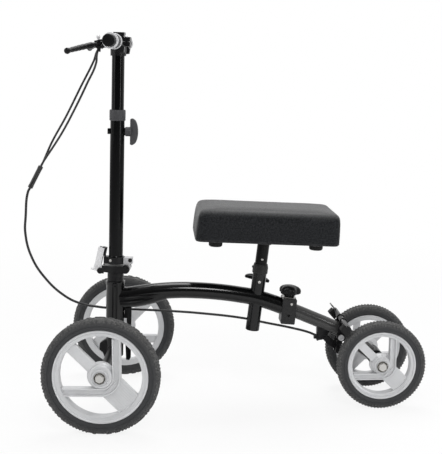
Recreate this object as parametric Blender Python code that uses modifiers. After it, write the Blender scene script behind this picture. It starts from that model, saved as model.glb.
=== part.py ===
"""Knee walker: four wheels, a padded knee rest on a sliding post, a folding steering column,
hand brakes and the cables that work a brake yoke at the rear wheels. Metres, +Z up, forwards is -X."""

import math

import bmesh
import bpy
from mathutils import Matrix, Vector

# Fits
GAP = 0.0003
SLIDE_GAP = 0.0003
TURN_GAP = 0.0005

# Roundness: parts that fit in each other have the same number of sides
HEAD_SIDES = 24
TUBE_SIDES = 20
FRAME_SIDES = 16
HUB_SIDES = 18
BAR_SIDES = 18
BOLT_SIDES = 12
CABLE_SIDES = 8

# Stance, with X measured rearwards from the front axle
FRONT_AXLE_X = -0.25735
WHEELBASE = 0.6114
FRONT_TRACK = 0.4033
REAR_TRACK = 0.1529
COLUMN_RAKE = math.radians(1.56)
STEERING_TRAIL = 0.003
STEER_AT_REST = math.radians(-4.85)

# Wheels
FRONT_WHEEL_RADIUS = 0.127
REAR_WHEEL_RADIUS = 0.1015
FRONT_TYRE_DEPTH = 0.0250
REAR_TYRE_DEPTH = 0.0230
FRONT_RIM_BAND = 0.0140
REAR_RIM_BAND = 0.0120
FRONT_TYRE_WIDTH = 0.030
REAR_TYRE_WIDTH = 0.0286
FRONT_WHEEL_FACETS = 34
REAR_WHEEL_FACETS = 30
HUB_BOSS_REACH = 0.0200
AXLE_BOLT_RADIUS = 0.0055
AXLE_BEAM_RADIUS = 0.0100
AXLE_BOLT_DEPTH = 0.012

# Steering head
STEERER_RADIUS = 0.0140
HEAD_TUBE_RADIUS = 0.0208
HEAD_TUBE_BOTTOM = 0.160
HEAD_TUBE_TOP = 0.279
HEAD_FLANGE_REACH = 0.0012
HEAD_FLANGE_HEIGHT = 0.009
NECK_COLLAR_RADIUS = 0.0185
NECK_COLLAR_HEIGHT = 0.0202
CARRIER_RADIUS = 0.0200
CARRIER_DROP = 0.0190
CARRIER_BOLT_DROP = 0.0470
STEERER_SOCKET_DEPTH = 0.0180

# Fold joint
LOWER_BLOCK_HEIGHT = 0.0150
FOLD_OPENING = 0.0043
UPPER_BLOCK_HEIGHT = 0.0160
BLOCK_HALF_WIDTH = 0.0210
FOLD_PIN_BEHIND_COLUMN = 0.0243
FOLD_PIN_DEPTH = 0.0060
FOLD_PIN_RADIUS = 0.0040
KNUCKLE_RADIUS = 0.0096
LUG_HALF_WIDTH = 0.0100
LEVER_PIVOT_AHEAD = 0.0345
LEVER_PIVOT_DEPTH = 0.0125
LEVER_FOOT_RADIUS = 0.0068
LEVER_LENGTH = 0.0530
LEVER_LEAN = math.radians(11.5)

# Steering column and handlebar
COLUMN_TUBE_WALL = 0.0017
HANDLE_TUBE_RADIUS = 0.0140
HANDLE_TUBE_WALL = 0.0020
HANDLE_TUBE_BOTTOM = 0.5000
COLUMN_SOCKET_DEPTH = 0.0090
COLLAR_TOP = 0.6770
COLLAR_LENGTH = 0.0240
COLLAR_WALL = 0.0017
COLUMN_KNOB_BELOW_COLLAR = 0.0240
BAR_HEIGHT = 0.8250
BAR_RADIUS = 0.0111
BAR_CLAMP_WALL = 0.0072
BAR_END_LENGTH = 0.0305
BAR_END_WALL = 0.0020
GRIP_LENGTH = 0.0650
GRIP_WALL = 0.0036
GRIP_FLANGE_REACH = 0.0020
PERCH_AT = 0.0585
PERCH_WIDTH = 0.0140
PERCH_TO_GRIP = 0.0045
LEVER_AXIS_AHEAD = 0.0340
NEAR_BOOT_LEAN = math.radians(15.0)
FAR_BOOT_LEAN = math.radians(53.0)
CABLE_BOOT_DEPTH = 0.0135
NEAR_LEVER_DROOP = math.radians(10.0)
FAR_LEVER_DROOP = math.radians(3.0)

# Main frame: the rear clamp and the brake's pivot are placed from the rear axle
MAIN_TUBE_RADIUS = 0.0190
HEAD_GUSSET_RADIUS = 0.0180
REAR_TUBE_RADIUS = 0.0160
CLAMP_AHEAD = 0.2054
CLAMP_ABOVE = 0.1150
CLAMP_HALF_WIDTH = 0.0220
CLAMP_HALF_LENGTH = 0.0165
CLAMP_TOP = 0.0275
CLAMP_BOTTOM = 0.0330
CLAMP_LEAN = math.radians(5.0)
STAR_KNOB_RADIUS = 0.0225
REAR_PIVOT_AHEAD = 0.0824
REAR_PIVOT_ABOVE = 0.0485
REAR_SLEEVE_RADIUS = 0.0180
PIVOT_BOLT_RADIUS = 0.0045

# The main tube's middle line, as distance behind the front axle and height, then as both from the rear clamp
MAIN_TUBE_FRONT = [(0.0060, 0.2520), (0.0350, 0.2530), (0.0650, 0.2570), (0.1000, 0.2610), (0.1500, 0.2635),
                   (0.1900, 0.2625)]
HEAD_GUSSET_LINE = [(0.0060, 0.2410), (0.0350, 0.2412), (0.0750, 0.2470), (0.1200, 0.2590)]
MAIN_TUBE_REAR = [(-0.1660, 0.0420), (-0.1160, 0.0350), (-0.0760, 0.0270), (-0.0410, 0.0160), (-0.0030, 0.0015)]

# The rear tube's middle line from the rear axle
REAR_TUBE_LINE = [(-0.2064, 0.1157), (-0.1874, 0.1083), (-0.1514, 0.0930), (-0.1134, 0.0765), (-0.0824, 0.0615),
                  (-0.0554, 0.0430), (-0.0264, 0.0200), (0.0, -0.0005)]

# Seat
SEAT_FOOT_AHEAD_OF_CLAMP = 0.0830
SEAT_FOOT_BELOW_CLAMP = 0.0495
SEAT_LEAN = math.radians(6.9)
SEAT_POST_RADIUS = 0.0140
RECEIVER_WALL = 0.0017
RECEIVER_LENGTH = 0.1380
SEAT_COLLAR_WALL = 0.0013
SEAT_POST_START = 0.0230
SEAT_KNOB_BELOW_TOP = 0.0230
SEAT_KNOB_TURN = math.radians(7.0)
SNAP_HOLE_BELOW_PAD = 0.0529
PAD_BEHIND_FOOT = 0.0250
PAD_BOTTOM_HEIGHT = 0.3885
PAD_TILT = math.radians(2.6)
PAD_LENGTH = 0.3240
PAD_WIDTH = 0.1800
PAD_THICKNESS = 0.0680
PAD_CROWN = 0.0060
PAD_FRONT_SLOPE = 0.0150
PAD_SIDE_WAIST = 0.0035
PAD_STEPS_ALONG = (-0.90, -0.60, -0.20, 0.20, 0.60, 0.90)
PAD_STEPS_ACROSS = (-0.80, -0.30, 0.30, 0.80)
PAD_STEPS_UP = (-0.84, 0.40)
PLATE_LENGTH = 0.2700
PLATE_WIDTH = 0.1300
PLATE_CORNER = 0.0200
PLATE_THICKNESS = 0.0050
BUMPER_RADIUS = 0.0155
BUMPER_HEIGHT = 0.0130
BUMPER_FROM_CENTRE = 0.1135
BUMPER_HALF_SPACING = 0.0500

# Brakes
SHOE_CLEARANCE = 0.0060
SHOE_DEPTH = 0.0210
SHOE_WIDTH = 0.0220
YOKE_BAR_RADIUS = 0.0060
YOKE_BAR_OUTSIDE_WHEEL = 0.0160
YOKE_PIN_AHEAD = 0.0060
YOKE_PIN_BELOW = 0.0320
YOKE_PIN_RADIUS = 0.0036
YOKE_CHEEK_THICKNESS = 0.0030
YOKE_CHEEK_CLEARANCE = 0.0008

# Cables: the upper ones' heights are shares of the rise from the coupler to the bar
UPPER_CABLE_RADIUS = 0.0020
CABLE_RADIUS = 0.0025
COUPLER_RADIUS = 0.0056
COUPLER_TOP = (-0.1560, 0.0130, 0.5500)
COUPLER_BOTTOM = (-0.1820, 0.0130, 0.5010)
NEAR_CABLE = [(-0.0245, -0.0500, 0.833), (-0.0461, -0.0360, 0.671), (-0.0743, -0.0210, 0.474),
              (-0.1062, -0.0060, 0.272)]
FAR_CABLE = [(-0.0368, 0.0530, 0.846), (-0.0646, 0.0440, 0.650), (-0.0998, 0.0330, 0.398),
             (-0.1316, 0.0220, 0.191)]
CABLE_LOOP = [(-0.1938, 0.013, 0.4349), (-0.1958, 0.013, 0.3987), (-0.1839, 0.014, 0.3432),
              (-0.1540, 0.016, 0.2914), (-0.1110, 0.020, 0.2481), (-0.0799, 0.023, 0.2305),
              (-0.0346, 0.0248, 0.2197), (0.0050, 0.0248, 0.2155)]
CLIP_POINT = (0.0350, 0.0248, 0.2133)
CABLE_RUN = [(0.0600, 0.0240, 0.2123), (0.1544, 0.0215, 0.2066), (0.1998, 0.0208, 0.2026),
             (0.3068, 0.0205, 0.1885), (0.3472, 0.0205, 0.1794), (0.4260, 0.0120, 0.1640)]
CABLE_STOP_AHEAD = 0.1304
CABLE_STOP_ABOVE = 0.0460

# Sizes and places that follow from the ones above
FRONT_RIM_RADIUS = FRONT_WHEEL_RADIUS - FRONT_TYRE_DEPTH
REAR_RIM_RADIUS = REAR_WHEEL_RADIUS - REAR_TYRE_DEPTH
HEAD_FLANGE_RADIUS = HEAD_TUBE_RADIUS + HEAD_FLANGE_REACH
CARRIER_TOP = HEAD_TUBE_BOTTOM - 2 * TURN_GAP
NECK_COLLAR_BOTTOM = HEAD_TUBE_TOP + HEAD_FLANGE_HEIGHT + TURN_GAP
LOWER_BLOCK_BOTTOM = NECK_COLLAR_BOTTOM + NECK_COLLAR_HEIGHT + GAP
LOWER_BLOCK_TOP = LOWER_BLOCK_BOTTOM + LOWER_BLOCK_HEIGHT
FOLD_PIN_HEIGHT = LOWER_BLOCK_TOP - FOLD_PIN_DEPTH
LEVER_PIVOT_HEIGHT = LOWER_BLOCK_TOP - LEVER_PIVOT_DEPTH
UPPER_BLOCK_BOTTOM = LOWER_BLOCK_TOP + FOLD_OPENING
UPPER_BLOCK_TOP = UPPER_BLOCK_BOTTOM + UPPER_BLOCK_HEIGHT
LUG_FRONT = FOLD_PIN_BEHIND_COLUMN - 0.0055
COLUMN_TUBE_RADIUS = HANDLE_TUBE_RADIUS + SLIDE_GAP + COLUMN_TUBE_WALL
COLLAR_RADIUS = COLUMN_TUBE_RADIUS + GAP + COLLAR_WALL
COLLAR_BOTTOM = COLLAR_TOP - COLLAR_LENGTH
COLUMN_KNOB_HEIGHT = COLLAR_BOTTOM - COLUMN_KNOB_BELOW_COLLAR
GRIP_START = PERCH_AT + PERCH_WIDTH / 2 + PERCH_TO_GRIP
GRIP_END = GRIP_START + GRIP_LENGTH
GRIP_RADIUS = BAR_RADIUS + GAP + GRIP_WALL
BAR_HALF_LENGTH = GRIP_END + BAR_END_LENGTH
CLAMP_X = WHEELBASE - CLAMP_AHEAD
CLAMP_HEIGHT = REAR_WHEEL_RADIUS + CLAMP_ABOVE
SEAT_FOOT_X = CLAMP_X - SEAT_FOOT_AHEAD_OF_CLAMP
SEAT_FOOT_HEIGHT = CLAMP_HEIGHT - SEAT_FOOT_BELOW_CLAMP
SEAT_RISE = (PAD_BOTTOM_HEIGHT - SEAT_FOOT_HEIGHT) / math.cos(SEAT_LEAN)
RECEIVER_RADIUS = SEAT_POST_RADIUS + SLIDE_GAP + RECEIVER_WALL
SEAT_COLLAR_RADIUS = RECEIVER_RADIUS + GAP + SEAT_COLLAR_WALL
SEAT_KNOB_ALONG = RECEIVER_LENGTH - SEAT_KNOB_BELOW_TOP
CABLE_STOP_POINT = (WHEELBASE - CABLE_STOP_AHEAD, 0.0, REAR_WHEEL_RADIUS + CABLE_STOP_ABOVE)


for leftover in list(bpy.data.objects):
    bpy.data.objects.remove(leftover)

PARTS = bpy.data.collections.new("knee_walker")
CUTTERS = bpy.data.collections.new("cutters")
bpy.context.scene.collection.children.link(PARTS)
bpy.context.scene.collection.children.link(CUTTERS)


def paint(name, colour, roughness, metallic):
    material = bpy.data.materials.new(name)
    material.use_nodes = True
    surface = material.node_tree.nodes["Principled BSDF"]
    surface.inputs["Base Color"].default_value = (*colour, 1)
    surface.inputs["Roughness"].default_value = roughness
    surface.inputs["Metallic"].default_value = metallic
    return material


BLACK_PAINT = paint("gloss_black_paint", (0.010, 0.010, 0.012), 0.25, 0.0)
SATIN_BLACK = paint("satin_black_metal", (0.020, 0.020, 0.022), 0.45, 0.6)
BLACK_PLASTIC = paint("black_plastic", (0.022, 0.022, 0.024), 0.5, 0.0)
GREY_PLASTIC = paint("dark_grey_plastic", (0.070, 0.070, 0.075), 0.5, 0.0)
BRIGHT_STEEL = paint("bright_steel", (0.62, 0.62, 0.62), 0.3, 1.0)
ALUMINIUM = paint("cast_aluminium", (0.55, 0.56, 0.57), 0.4, 0.8)
RIM_GREY = paint("silver_grey_plastic", (0.58, 0.59, 0.61), 0.4, 0.1)
TYRE_RUBBER = paint("tyre_rubber", (0.045, 0.043, 0.042), 0.8, 0.0)
BLOCK_RUBBER = paint("block_rubber", (0.020, 0.020, 0.020), 0.7, 0.0)
GRIP_RUBBER = paint("grip_rubber", (0.28, 0.28, 0.29), 0.6, 0.0)
HEATHER_CLOTH = paint("heather_cloth", (0.045, 0.046, 0.050), 0.95, 0.0)
CABLE_COVER = paint("cable_cover", (0.018, 0.018, 0.020), 0.45, 0.0)


def empty(name, parent=None, location=(0, 0, 0), rotation=(0, 0, 0)):
    frame = bpy.data.objects.new(name, None)
    frame.empty_display_size = 0.03
    PARTS.objects.link(frame)
    frame.parent = parent
    frame.location = location
    frame.rotation_euler = rotation
    return frame


def add(name, mesh, material, parent, location=(0, 0, 0), rotation=(0, 0, 0)):
    """A sub-part: its mesh in its own collection, with its material and its parent."""
    part = bpy.data.objects.new(name, mesh)
    PARTS.objects.link(part)
    if material.name not in mesh.materials:
        mesh.materials.append(material)
    part.parent = parent
    part.location = location
    part.rotation_euler = rotation
    return part


def tool(mesh, parent, location=(0, 0, 0), rotation=(0, 0, 0)):
    """A shape that is cut from a sub-part, or joined to one. It isn't a sub-part itself."""
    shape = bpy.data.objects.new("tool_" + mesh.name, mesh)
    CUTTERS.objects.link(shape)
    shape.parent = parent
    shape.location = location
    shape.rotation_euler = rotation
    shape.hide_render = True
    shape.display_type = "WIRE"
    return shape


def combine(part, operation, shapes):
    for shape in shapes:
        modifier = part.modifiers.new(operation.lower(), "BOOLEAN")
        modifier.operation = operation
        modifier.object = shape


def join(part, *shapes):
    combine(part, "UNION", shapes)


def cut(part, *shapes):
    combine(part, "DIFFERENCE", shapes)


def soften(part, width, segments=1, angle=50):
    modifier = part.modifiers.new("edges", "BEVEL")
    modifier.width = width
    modifier.segments = segments
    modifier.limit_method = "ANGLE"
    modifier.angle_limit = math.radians(angle)


def smooth(mesh, angle=40):
    mesh.shade_smooth()
    mesh.set_sharp_from_angle(angle=math.radians(angle))
    return mesh


def mesh_from(bm, name):
    mesh = bpy.data.meshes.new(name)
    bm.to_mesh(mesh)
    bm.free()
    return mesh


def box(size, centre=(0, 0, 0)):
    bm = bmesh.new()
    bmesh.ops.create_cube(bm, size=1)
    bmesh.ops.scale(bm, vec=size, verts=bm.verts)
    bmesh.ops.translate(bm, vec=centre, verts=bm.verts)
    return mesh_from(bm, "box")


def cylinder(radius, start, end, axis="Z", sides=24, at=(0, 0, 0)):
    """A cylinder along an axis from start to end, with its axis through the point at."""
    turns = {"X": Matrix.Rotation(math.pi / 2, 4, "Y"), "Y": Matrix.Rotation(-math.pi / 2, 4, "X"), "Z": Matrix()}
    bm = bmesh.new()
    bmesh.ops.create_cone(bm, cap_ends=True, segments=sides, radius1=radius, radius2=radius, depth=end - start)
    bmesh.ops.translate(bm, vec=(0, 0, (start + end) / 2), verts=bm.verts)
    bmesh.ops.transform(bm, matrix=Matrix.Translation(at) @ turns[axis], verts=bm.verts)
    return smooth(mesh_from(bm, "cylinder"))


def ball(radius, centre):
    bm = bmesh.new()
    bmesh.ops.create_uvsphere(bm, u_segments=10, v_segments=6, radius=radius)
    bmesh.ops.translate(bm, vec=centre, verts=bm.verts)
    return smooth(mesh_from(bm, "ball"))


def profile_mesh(points, closed=True):
    """The half section of a turned shape, as (radius, height), down its outer side first."""
    bm = bmesh.new()
    corners = [bm.verts.new((radius, 0, height)) for radius, height in points]
    for first, second in zip(corners, corners[1:]):
        bm.edges.new((first, second))
    if closed:
        bm.edges.new((corners[-1], corners[0]))
    return mesh_from(bm, "profile")


def turn(shape, steps):
    screw = shape.modifiers.new("turned", "SCREW")
    screw.steps = steps
    screw.render_steps = steps
    screw.use_smooth_shade = True
    screw.use_merge_vertices = True
    screw.merge_threshold = 0.00001
    return shape


def mesh_of_curve(curve, name):
    """The curve as a mesh, with its caps welded on, so that it can be cut and joined."""
    shape = bpy.data.objects.new(name, curve)
    CUTTERS.objects.link(shape)
    bpy.context.view_layer.update()
    seen = shape.evaluated_get(bpy.context.evaluated_depsgraph_get())
    mesh = bpy.data.meshes.new_from_object(seen)
    bpy.data.objects.remove(shape)
    bm = bmesh.new()
    bm.from_mesh(mesh)
    bmesh.ops.remove_doubles(bm, verts=bm.verts, dist=0.00001)
    bm.to_mesh(mesh)
    bm.free()
    mesh.name = name
    return mesh


def rod(points, radius, sides=16, shares=None, name="rod"):
    """A round bar or tube along the points. shares scales the radius at each of them."""
    curve = bpy.data.curves.new(name, "CURVE")
    curve.dimensions = "3D"
    curve.bevel_depth = radius
    curve.bevel_resolution = (sides - 4) // 2
    curve.use_fill_caps = True
    spline = curve.splines.new("POLY")
    spline.points.add(len(points) - 1)
    for point, place, share in zip(spline.points, points, shares or [1] * len(points)):
        point.co = (*place, 1)
        point.radius = share
    return smooth(mesh_of_curve(curve, name))


def plate(outlines, thickness, upright=False, name="plate"):
    """A flat outline given thickness about its middle. Upright, its height runs along Z and its thickness along Y."""
    curve = bpy.data.curves.new(name, "CURVE")
    curve.dimensions = "2D"
    curve.fill_mode = "BOTH"
    curve.extrude = thickness / 2
    for outline in outlines:
        spline = curve.splines.new("POLY")
        spline.points.add(len(outline) - 1)
        for point, (across, up) in zip(spline.points, outline):
            point.co = (across, up, 0, 1)
        spline.use_cyclic_u = True
    mesh = mesh_of_curve(curve, name)
    if upright:
        mesh.transform(Matrix.Rotation(math.pi / 2, 4, "X"))
    return smooth(mesh)


def arc(centre, radius, start, end, count):
    """Points along an arc, by angles in degrees."""
    angles = [math.radians(start + (end - start) * step / (count - 1)) for step in range(count)]
    return [(centre[0] + radius * math.cos(a), centre[1] + radius * math.sin(a)) for a in angles]


def smooth_route(points, spacing):
    """Points at an even spacing along a smooth curve through the given points."""
    places = [Vector(point) for point in points]
    places = [2 * places[0] - places[1]] + places + [2 * places[-1] - places[-2]]
    fine = []
    for before, first, second, after in zip(places, places[1:], places[2:], places[3:]):
        for step in range(24):
            t = step / 24
            fine.append(0.5 * (2 * first + (second - before) * t
                               + (2 * before - 5 * first + 4 * second - after) * t * t
                               + (3 * first - before - 3 * second + after) * t ** 3))
    fine.append(places[-2])
    lengths = [0.0]
    for first, second in zip(fine, fine[1:]):
        lengths.append(lengths[-1] + (second - first).length)
    count = max(2, round(lengths[-1] / spacing))
    route = []
    index = 0
    for step in range(count + 1):
        wanted = lengths[-1] * step / count
        while index < len(lengths) - 2 and lengths[index + 1] < wanted:
            index += 1
        share = (wanted - lengths[index]) / (lengths[index + 1] - lengths[index])
        route.append(fine[index].lerp(fine[index + 1], share))
    return route


def outwards(side):
    """The rotation that lays a shape's own Z along the axle: towards -Y on the near side, +Y on the far side."""
    return (math.pi / 2 * -side, 0, 0)


NEAR = -1
FAR = 1
SIDE_NAMES = {NEAR: "near", FAR: "far"}

# Places that the sub-parts hang on
chassis = empty("chassis", location=(FRONT_AXLE_X, 0, 0))
head = empty("steering_head", chassis, (STEERING_TRAIL, 0, FRONT_WHEEL_RADIUS), (0, COLUMN_RAKE, 0))
column = empty("steered_column", head, rotation=(0, 0, STEER_AT_REST))
front_axle = empty("front_axle_line", chassis, (0, 0, FRONT_WHEEL_RADIUS), (0, 0, STEER_AT_REST))
rear_axle = empty("rear_axle_line", chassis, (WHEELBASE, 0, REAR_WHEEL_RADIUS))
seat_line = empty("seat_line", chassis, (SEAT_FOOT_X, 0, SEAT_FOOT_HEIGHT), (0, SEAT_LEAN, 0))
seat_top = empty("seat_top", chassis, (SEAT_FOOT_X + PAD_BEHIND_FOOT, 0, PAD_BOTTOM_HEIGHT), (0, PAD_TILT, 0))
clamp = empty("rear_clamp_line", chassis, (CLAMP_X, 0, CLAMP_HEIGHT), (0, CLAMP_LEAN, 0))
yoke_axis = empty("yoke_axis", rear_axle, (-REAR_PIVOT_AHEAD, 0, REAR_PIVOT_ABOVE))
fold_axis = empty("fold_axis", column, (FOLD_PIN_BEHIND_COLUMN, 0, FOLD_PIN_HEIGHT - FRONT_WHEEL_RADIUS))
bpy.context.view_layer.update()


def up(height):
    """A height above the floor, as a height on the steering head's own axis."""
    return height - FRONT_WHEEL_RADIUS


def in_chassis(frame, point):
    """A point of a frame, seen from the chassis."""
    bpy.context.view_layer.update()
    return chassis.matrix_world.inverted() @ frame.matrix_world @ Vector(point)


# Wheels
def make_tyre(name, hub, radius, rim_radius, width, facets):
    outer = radius / math.cos(math.pi / facets)
    inner = rim_radius + GAP
    half = width / 2
    depth = outer - inner
    bulge = inner + 0.32 * depth
    shoulder = outer - 0.24 * depth
    section = [
        (inner, half - 0.0030), (bulge, half), (shoulder, half - 0.0020), (outer, half - 0.0085),
        (outer, -half + 0.0085), (shoulder, -half + 0.0020), (bulge, -half), (inner, -half + 0.0030),
    ]
    return turn(add(name, profile_mesh(section), TYRE_RUBBER, hub), facets)


def make_rim(name, hub, rim_radius, band, width, facets, half_turn):
    """A dished ring and hub joined by a narrow arm, a wide arm and two channel bars beside the hub."""
    window_radius = rim_radius - band
    scale = window_radius / (FRONT_RIM_RADIUS - FRONT_RIM_BAND)
    half = width / 2 - 0.0020
    ring = [
        (window_radius, half), (rim_radius - 0.0015, half), (rim_radius, half - 0.0015), (rim_radius, -half),
        (window_radius, -half),
    ]
    rim = turn(add(name, profile_mesh(ring), RIM_GREY, hub, rotation=(0, 0, half_turn * math.pi)), facets)
    bore = AXLE_BOLT_RADIUS + GAP
    hub_radius = 0.0380 * (0.5 + 0.5 * scale)
    hub_section = [
        (bore, half + 0.0040), (0.0210, half + 0.0040), (0.0215, half - 0.0060), (hub_radius - 0.004, half - 0.0060),
        (hub_radius, half - 0.0030), (hub_radius, -half + 0.0040), (0.0160, -half + 0.0020),
        (0.0150, -HUB_BOSS_REACH), (bore, -HUB_BOSS_REACH),
    ]
    join(rim, turn(tool(profile_mesh(hub_section), rim), HUB_SIDES))
    reach = window_radius + 0.005
    thick = 2 * half - 0.008
    diagonal = math.radians(135)
    narrow = box((reach - 0.028 * scale, 0.0245 * scale, thick * 0.6), ((reach + 0.028 * scale) / 2, 0, 0.002))
    wide = box((reach - 0.028 * scale, 0.056 * scale, thick * 0.6), (-(reach + 0.028 * scale) / 2, 0, 0.002))
    offset = 0.0345 * scale
    bar_width = 0.0190 * (0.3 + 0.7 * scale)
    bar_end = math.sqrt(reach ** 2 - (offset + bar_width / 2) ** 2)
    bar_start = offset + bar_width / 2
    standing = box((bar_width, bar_end + bar_start, thick), (offset, (bar_end - bar_start) / 2, 0.001))
    lying = box((bar_end + bar_start, bar_width, thick + 0.0004), ((bar_start - bar_end) / 2, -offset, 0.001))
    join(rim, tool(narrow, rim, rotation=(0, 0, diagonal)), tool(wide, rim, rotation=(0, 0, diagonal)))
    join(rim, tool(standing, rim), tool(lying, rim))
    groove_half = bar_width * 0.24
    groove_top = 0.001 + thick / 2
    groove_length = bar_end - 0.016 * scale
    groove = box((2 * groove_half, groove_length, 0.009), (offset, groove_length / 2 + 0.006, groove_top + 0.0005))
    other = box((groove_length, 2 * groove_half, 0.0091), (-groove_length / 2 - 0.006, -offset, groove_top + 0.0005))
    cut(rim, tool(groove, rim), tool(other, rim))
    return rim


def make_axle_bolt(name, hub, width):
    """A hexagon head on a washer, with a shank through the hub into the end of the axle."""
    face = width / 2 - 0.0020 + 0.0040 + GAP
    bolt = add(name, cylinder(0.0125, face, face + 0.0016, sides=HUB_SIDES), BRIGHT_STEEL, hub)
    head_shape = tool(cylinder(0.0092, face + 0.0010, face + 0.0066, sides=6), bolt)
    shank = tool(cylinder(AXLE_BOLT_RADIUS, -HUB_BOSS_REACH - AXLE_BOLT_DEPTH + 0.001, face + 0.001, sides=BOLT_SIDES), bolt)
    join(bolt, head_shape, shank)
    return bolt


def make_wheel(end, side, axle, track, radius, rim_radius, band, width, facets):
    name = end + "_" + SIDE_NAMES[side]
    hub = empty("wheel_" + name, axle, (0, side * track / 2, 0), outwards(side))
    make_tyre("tyre_" + name, hub, radius, rim_radius, width, facets)
    make_rim("rim_" + name, hub, rim_radius, band, width, facets, half_turn=(side == FAR))
    make_axle_bolt("axle_bolt_" + name, hub, width)


def make_wheels():
    for side in (NEAR, FAR):
        make_wheel("front", side, front_axle, FRONT_TRACK, FRONT_WHEEL_RADIUS, FRONT_RIM_RADIUS,
                   FRONT_RIM_BAND, FRONT_TYRE_WIDTH, FRONT_WHEEL_FACETS)
        make_wheel("rear", side, rear_axle, REAR_TRACK, REAR_WHEEL_RADIUS, REAR_RIM_RADIUS,
                   REAR_RIM_BAND, REAR_TYRE_WIDTH, REAR_WHEEL_FACETS)


def axle_beam(name, parent, track, material):
    """A round axle between two hubs, bored at both ends for the axle bolts."""
    half = track / 2 - HUB_BOSS_REACH - GAP
    beam = add(name, cylinder(AXLE_BEAM_RADIUS, -half, half, "Y", 16), material, parent)
    for side in (NEAR, FAR):
        hole = cylinder(AXLE_BOLT_RADIUS + GAP, -AXLE_BOLT_DEPTH, AXLE_BOLT_DEPTH, "Y", BOLT_SIDES, (0, side * half, 0))
        cut(beam, tool(hole, beam))
    return beam


# Steering head and front axle
def make_head_tube():
    bore = STEERER_RADIUS + TURN_GAP
    top = up(HEAD_TUBE_TOP + HEAD_FLANGE_HEIGHT)
    section = [
        (bore, top), (HEAD_FLANGE_RADIUS - 0.0015, top), (HEAD_FLANGE_RADIUS, top - 0.0015),
        (HEAD_FLANGE_RADIUS, up(HEAD_TUBE_TOP)), (HEAD_TUBE_RADIUS, up(HEAD_TUBE_TOP - 0.0010)),
        (HEAD_TUBE_RADIUS, up(HEAD_TUBE_BOTTOM + 0.010)), (HEAD_FLANGE_RADIUS, up(HEAD_TUBE_BOTTOM + 0.0085)),
        (HEAD_FLANGE_RADIUS, up(HEAD_TUBE_BOTTOM)), (bore, up(HEAD_TUBE_BOTTOM)),
    ]
    turn(add("head_tube", profile_mesh(section), BLACK_PAINT, head), HEAD_SIDES)


def make_neck_collar():
    bottom = up(NECK_COLLAR_BOTTOM)
    top = bottom + NECK_COLLAR_HEIGHT
    bore = STEERER_RADIUS + GAP
    section = [
        (bore, top), (NECK_COLLAR_RADIUS - 0.001, top), (NECK_COLLAR_RADIUS, top - 0.001),
        (NECK_COLLAR_RADIUS, bottom), (bore, bottom),
    ]
    turn(add("neck_collar", profile_mesh(section), BLACK_PLASTIC, column), HEAD_SIDES)


def make_steerer():
    """The steerer tube with the lower fold block on top: round in front, forked behind, with two ears for the lever."""
    pin_x = FOLD_PIN_BEHIND_COLUMN
    outline = (
        [(-0.0300, -0.0115)] + arc((0, 0), BLOCK_HALF_WIDTH, -125, -90, 4)
        + [(pin_x, -BLOCK_HALF_WIDTH), (pin_x, BLOCK_HALF_WIDTH)]
        + arc((0, 0), BLOCK_HALF_WIDTH, 90, 125, 4) + [(-0.0300, 0.0115)]
    )
    middle = (up(LOWER_BLOCK_TOP) + up(LOWER_BLOCK_BOTTOM)) / 2
    block = plate([outline], LOWER_BLOCK_TOP - LOWER_BLOCK_BOTTOM, name="steerer")
    block.transform(Matrix.Translation((0, 0, middle)))
    steerer = add("steerer", block, SATIN_BLACK, column)
    stalk_foot = up(CARRIER_TOP - STEERER_SOCKET_DEPTH)
    stalk = cylinder(STEERER_RADIUS, stalk_foot, up(LOWER_BLOCK_BOTTOM + LOWER_BLOCK_HEIGHT / 2), sides=HEAD_SIDES)
    pin_at = (pin_x, 0, up(FOLD_PIN_HEIGHT))
    knuckle = cylinder(KNUCKLE_RADIUS, -BLOCK_HALF_WIDTH - 0.0004, BLOCK_HALF_WIDTH + 0.0004, "Y", 20, pin_at)
    pivot_at = (-LEVER_PIVOT_AHEAD, 0, up(LEVER_PIVOT_HEIGHT))
    ear = cylinder(0.0070, -0.0115, 0.0115, "Y", BOLT_SIDES, pivot_at)
    arm_front = LEVER_PIVOT_AHEAD + 0.0018
    arm_back = 0.0260
    arm_at = (-(arm_front + arm_back) / 2, 0, up(LEVER_PIVOT_HEIGHT) - 0.001)
    arm = box((arm_front - arm_back, 0.0230, 0.0100), arm_at)
    join(steerer, tool(stalk, column), tool(knuckle, column), tool(arm, column), tool(ear, column))
    slot_half = LUG_HALF_WIDTH + GAP
    round_slot = cylinder(KNUCKLE_RADIUS + TURN_GAP, -slot_half, slot_half, "Y", 20, pin_at)
    open_slot = box((0.030, 2 * slot_half, 0.040), (pin_x + 0.015, 0, up(FOLD_PIN_HEIGHT)))
    lever_slot = box((0.0260, 0.0166, 0.040), (-LEVER_PIVOT_AHEAD - 0.0042, 0, up(LEVER_PIVOT_HEIGHT)))
    pin_hole = cylinder(FOLD_PIN_RADIUS + GAP, -0.05, 0.05, "Y", BOLT_SIDES, pin_at)
    cut(steerer, tool(round_slot, column), tool(open_slot, column), tool(lever_slot, column), tool(pin_hole, column))
    lever_pin = cylinder(0.0030, -0.0100, 0.0100, "Y", 12, pivot_at)
    join(steerer, tool(lever_pin, column))


def make_fold_pin():
    half = BLOCK_HALF_WIDTH + 0.0004 + GAP
    pin = add("fold_pin", cylinder(FOLD_PIN_RADIUS, -half - 0.001, half + 0.001, "Y", BOLT_SIDES), SATIN_BLACK, fold_axis)
    for side in (NEAR, FAR):
        low, high = sorted((side * half, side * (half + 0.0022)))
        join(pin, tool(cylinder(0.0062, low, high, "Y", BOLT_SIDES), pin))


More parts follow.
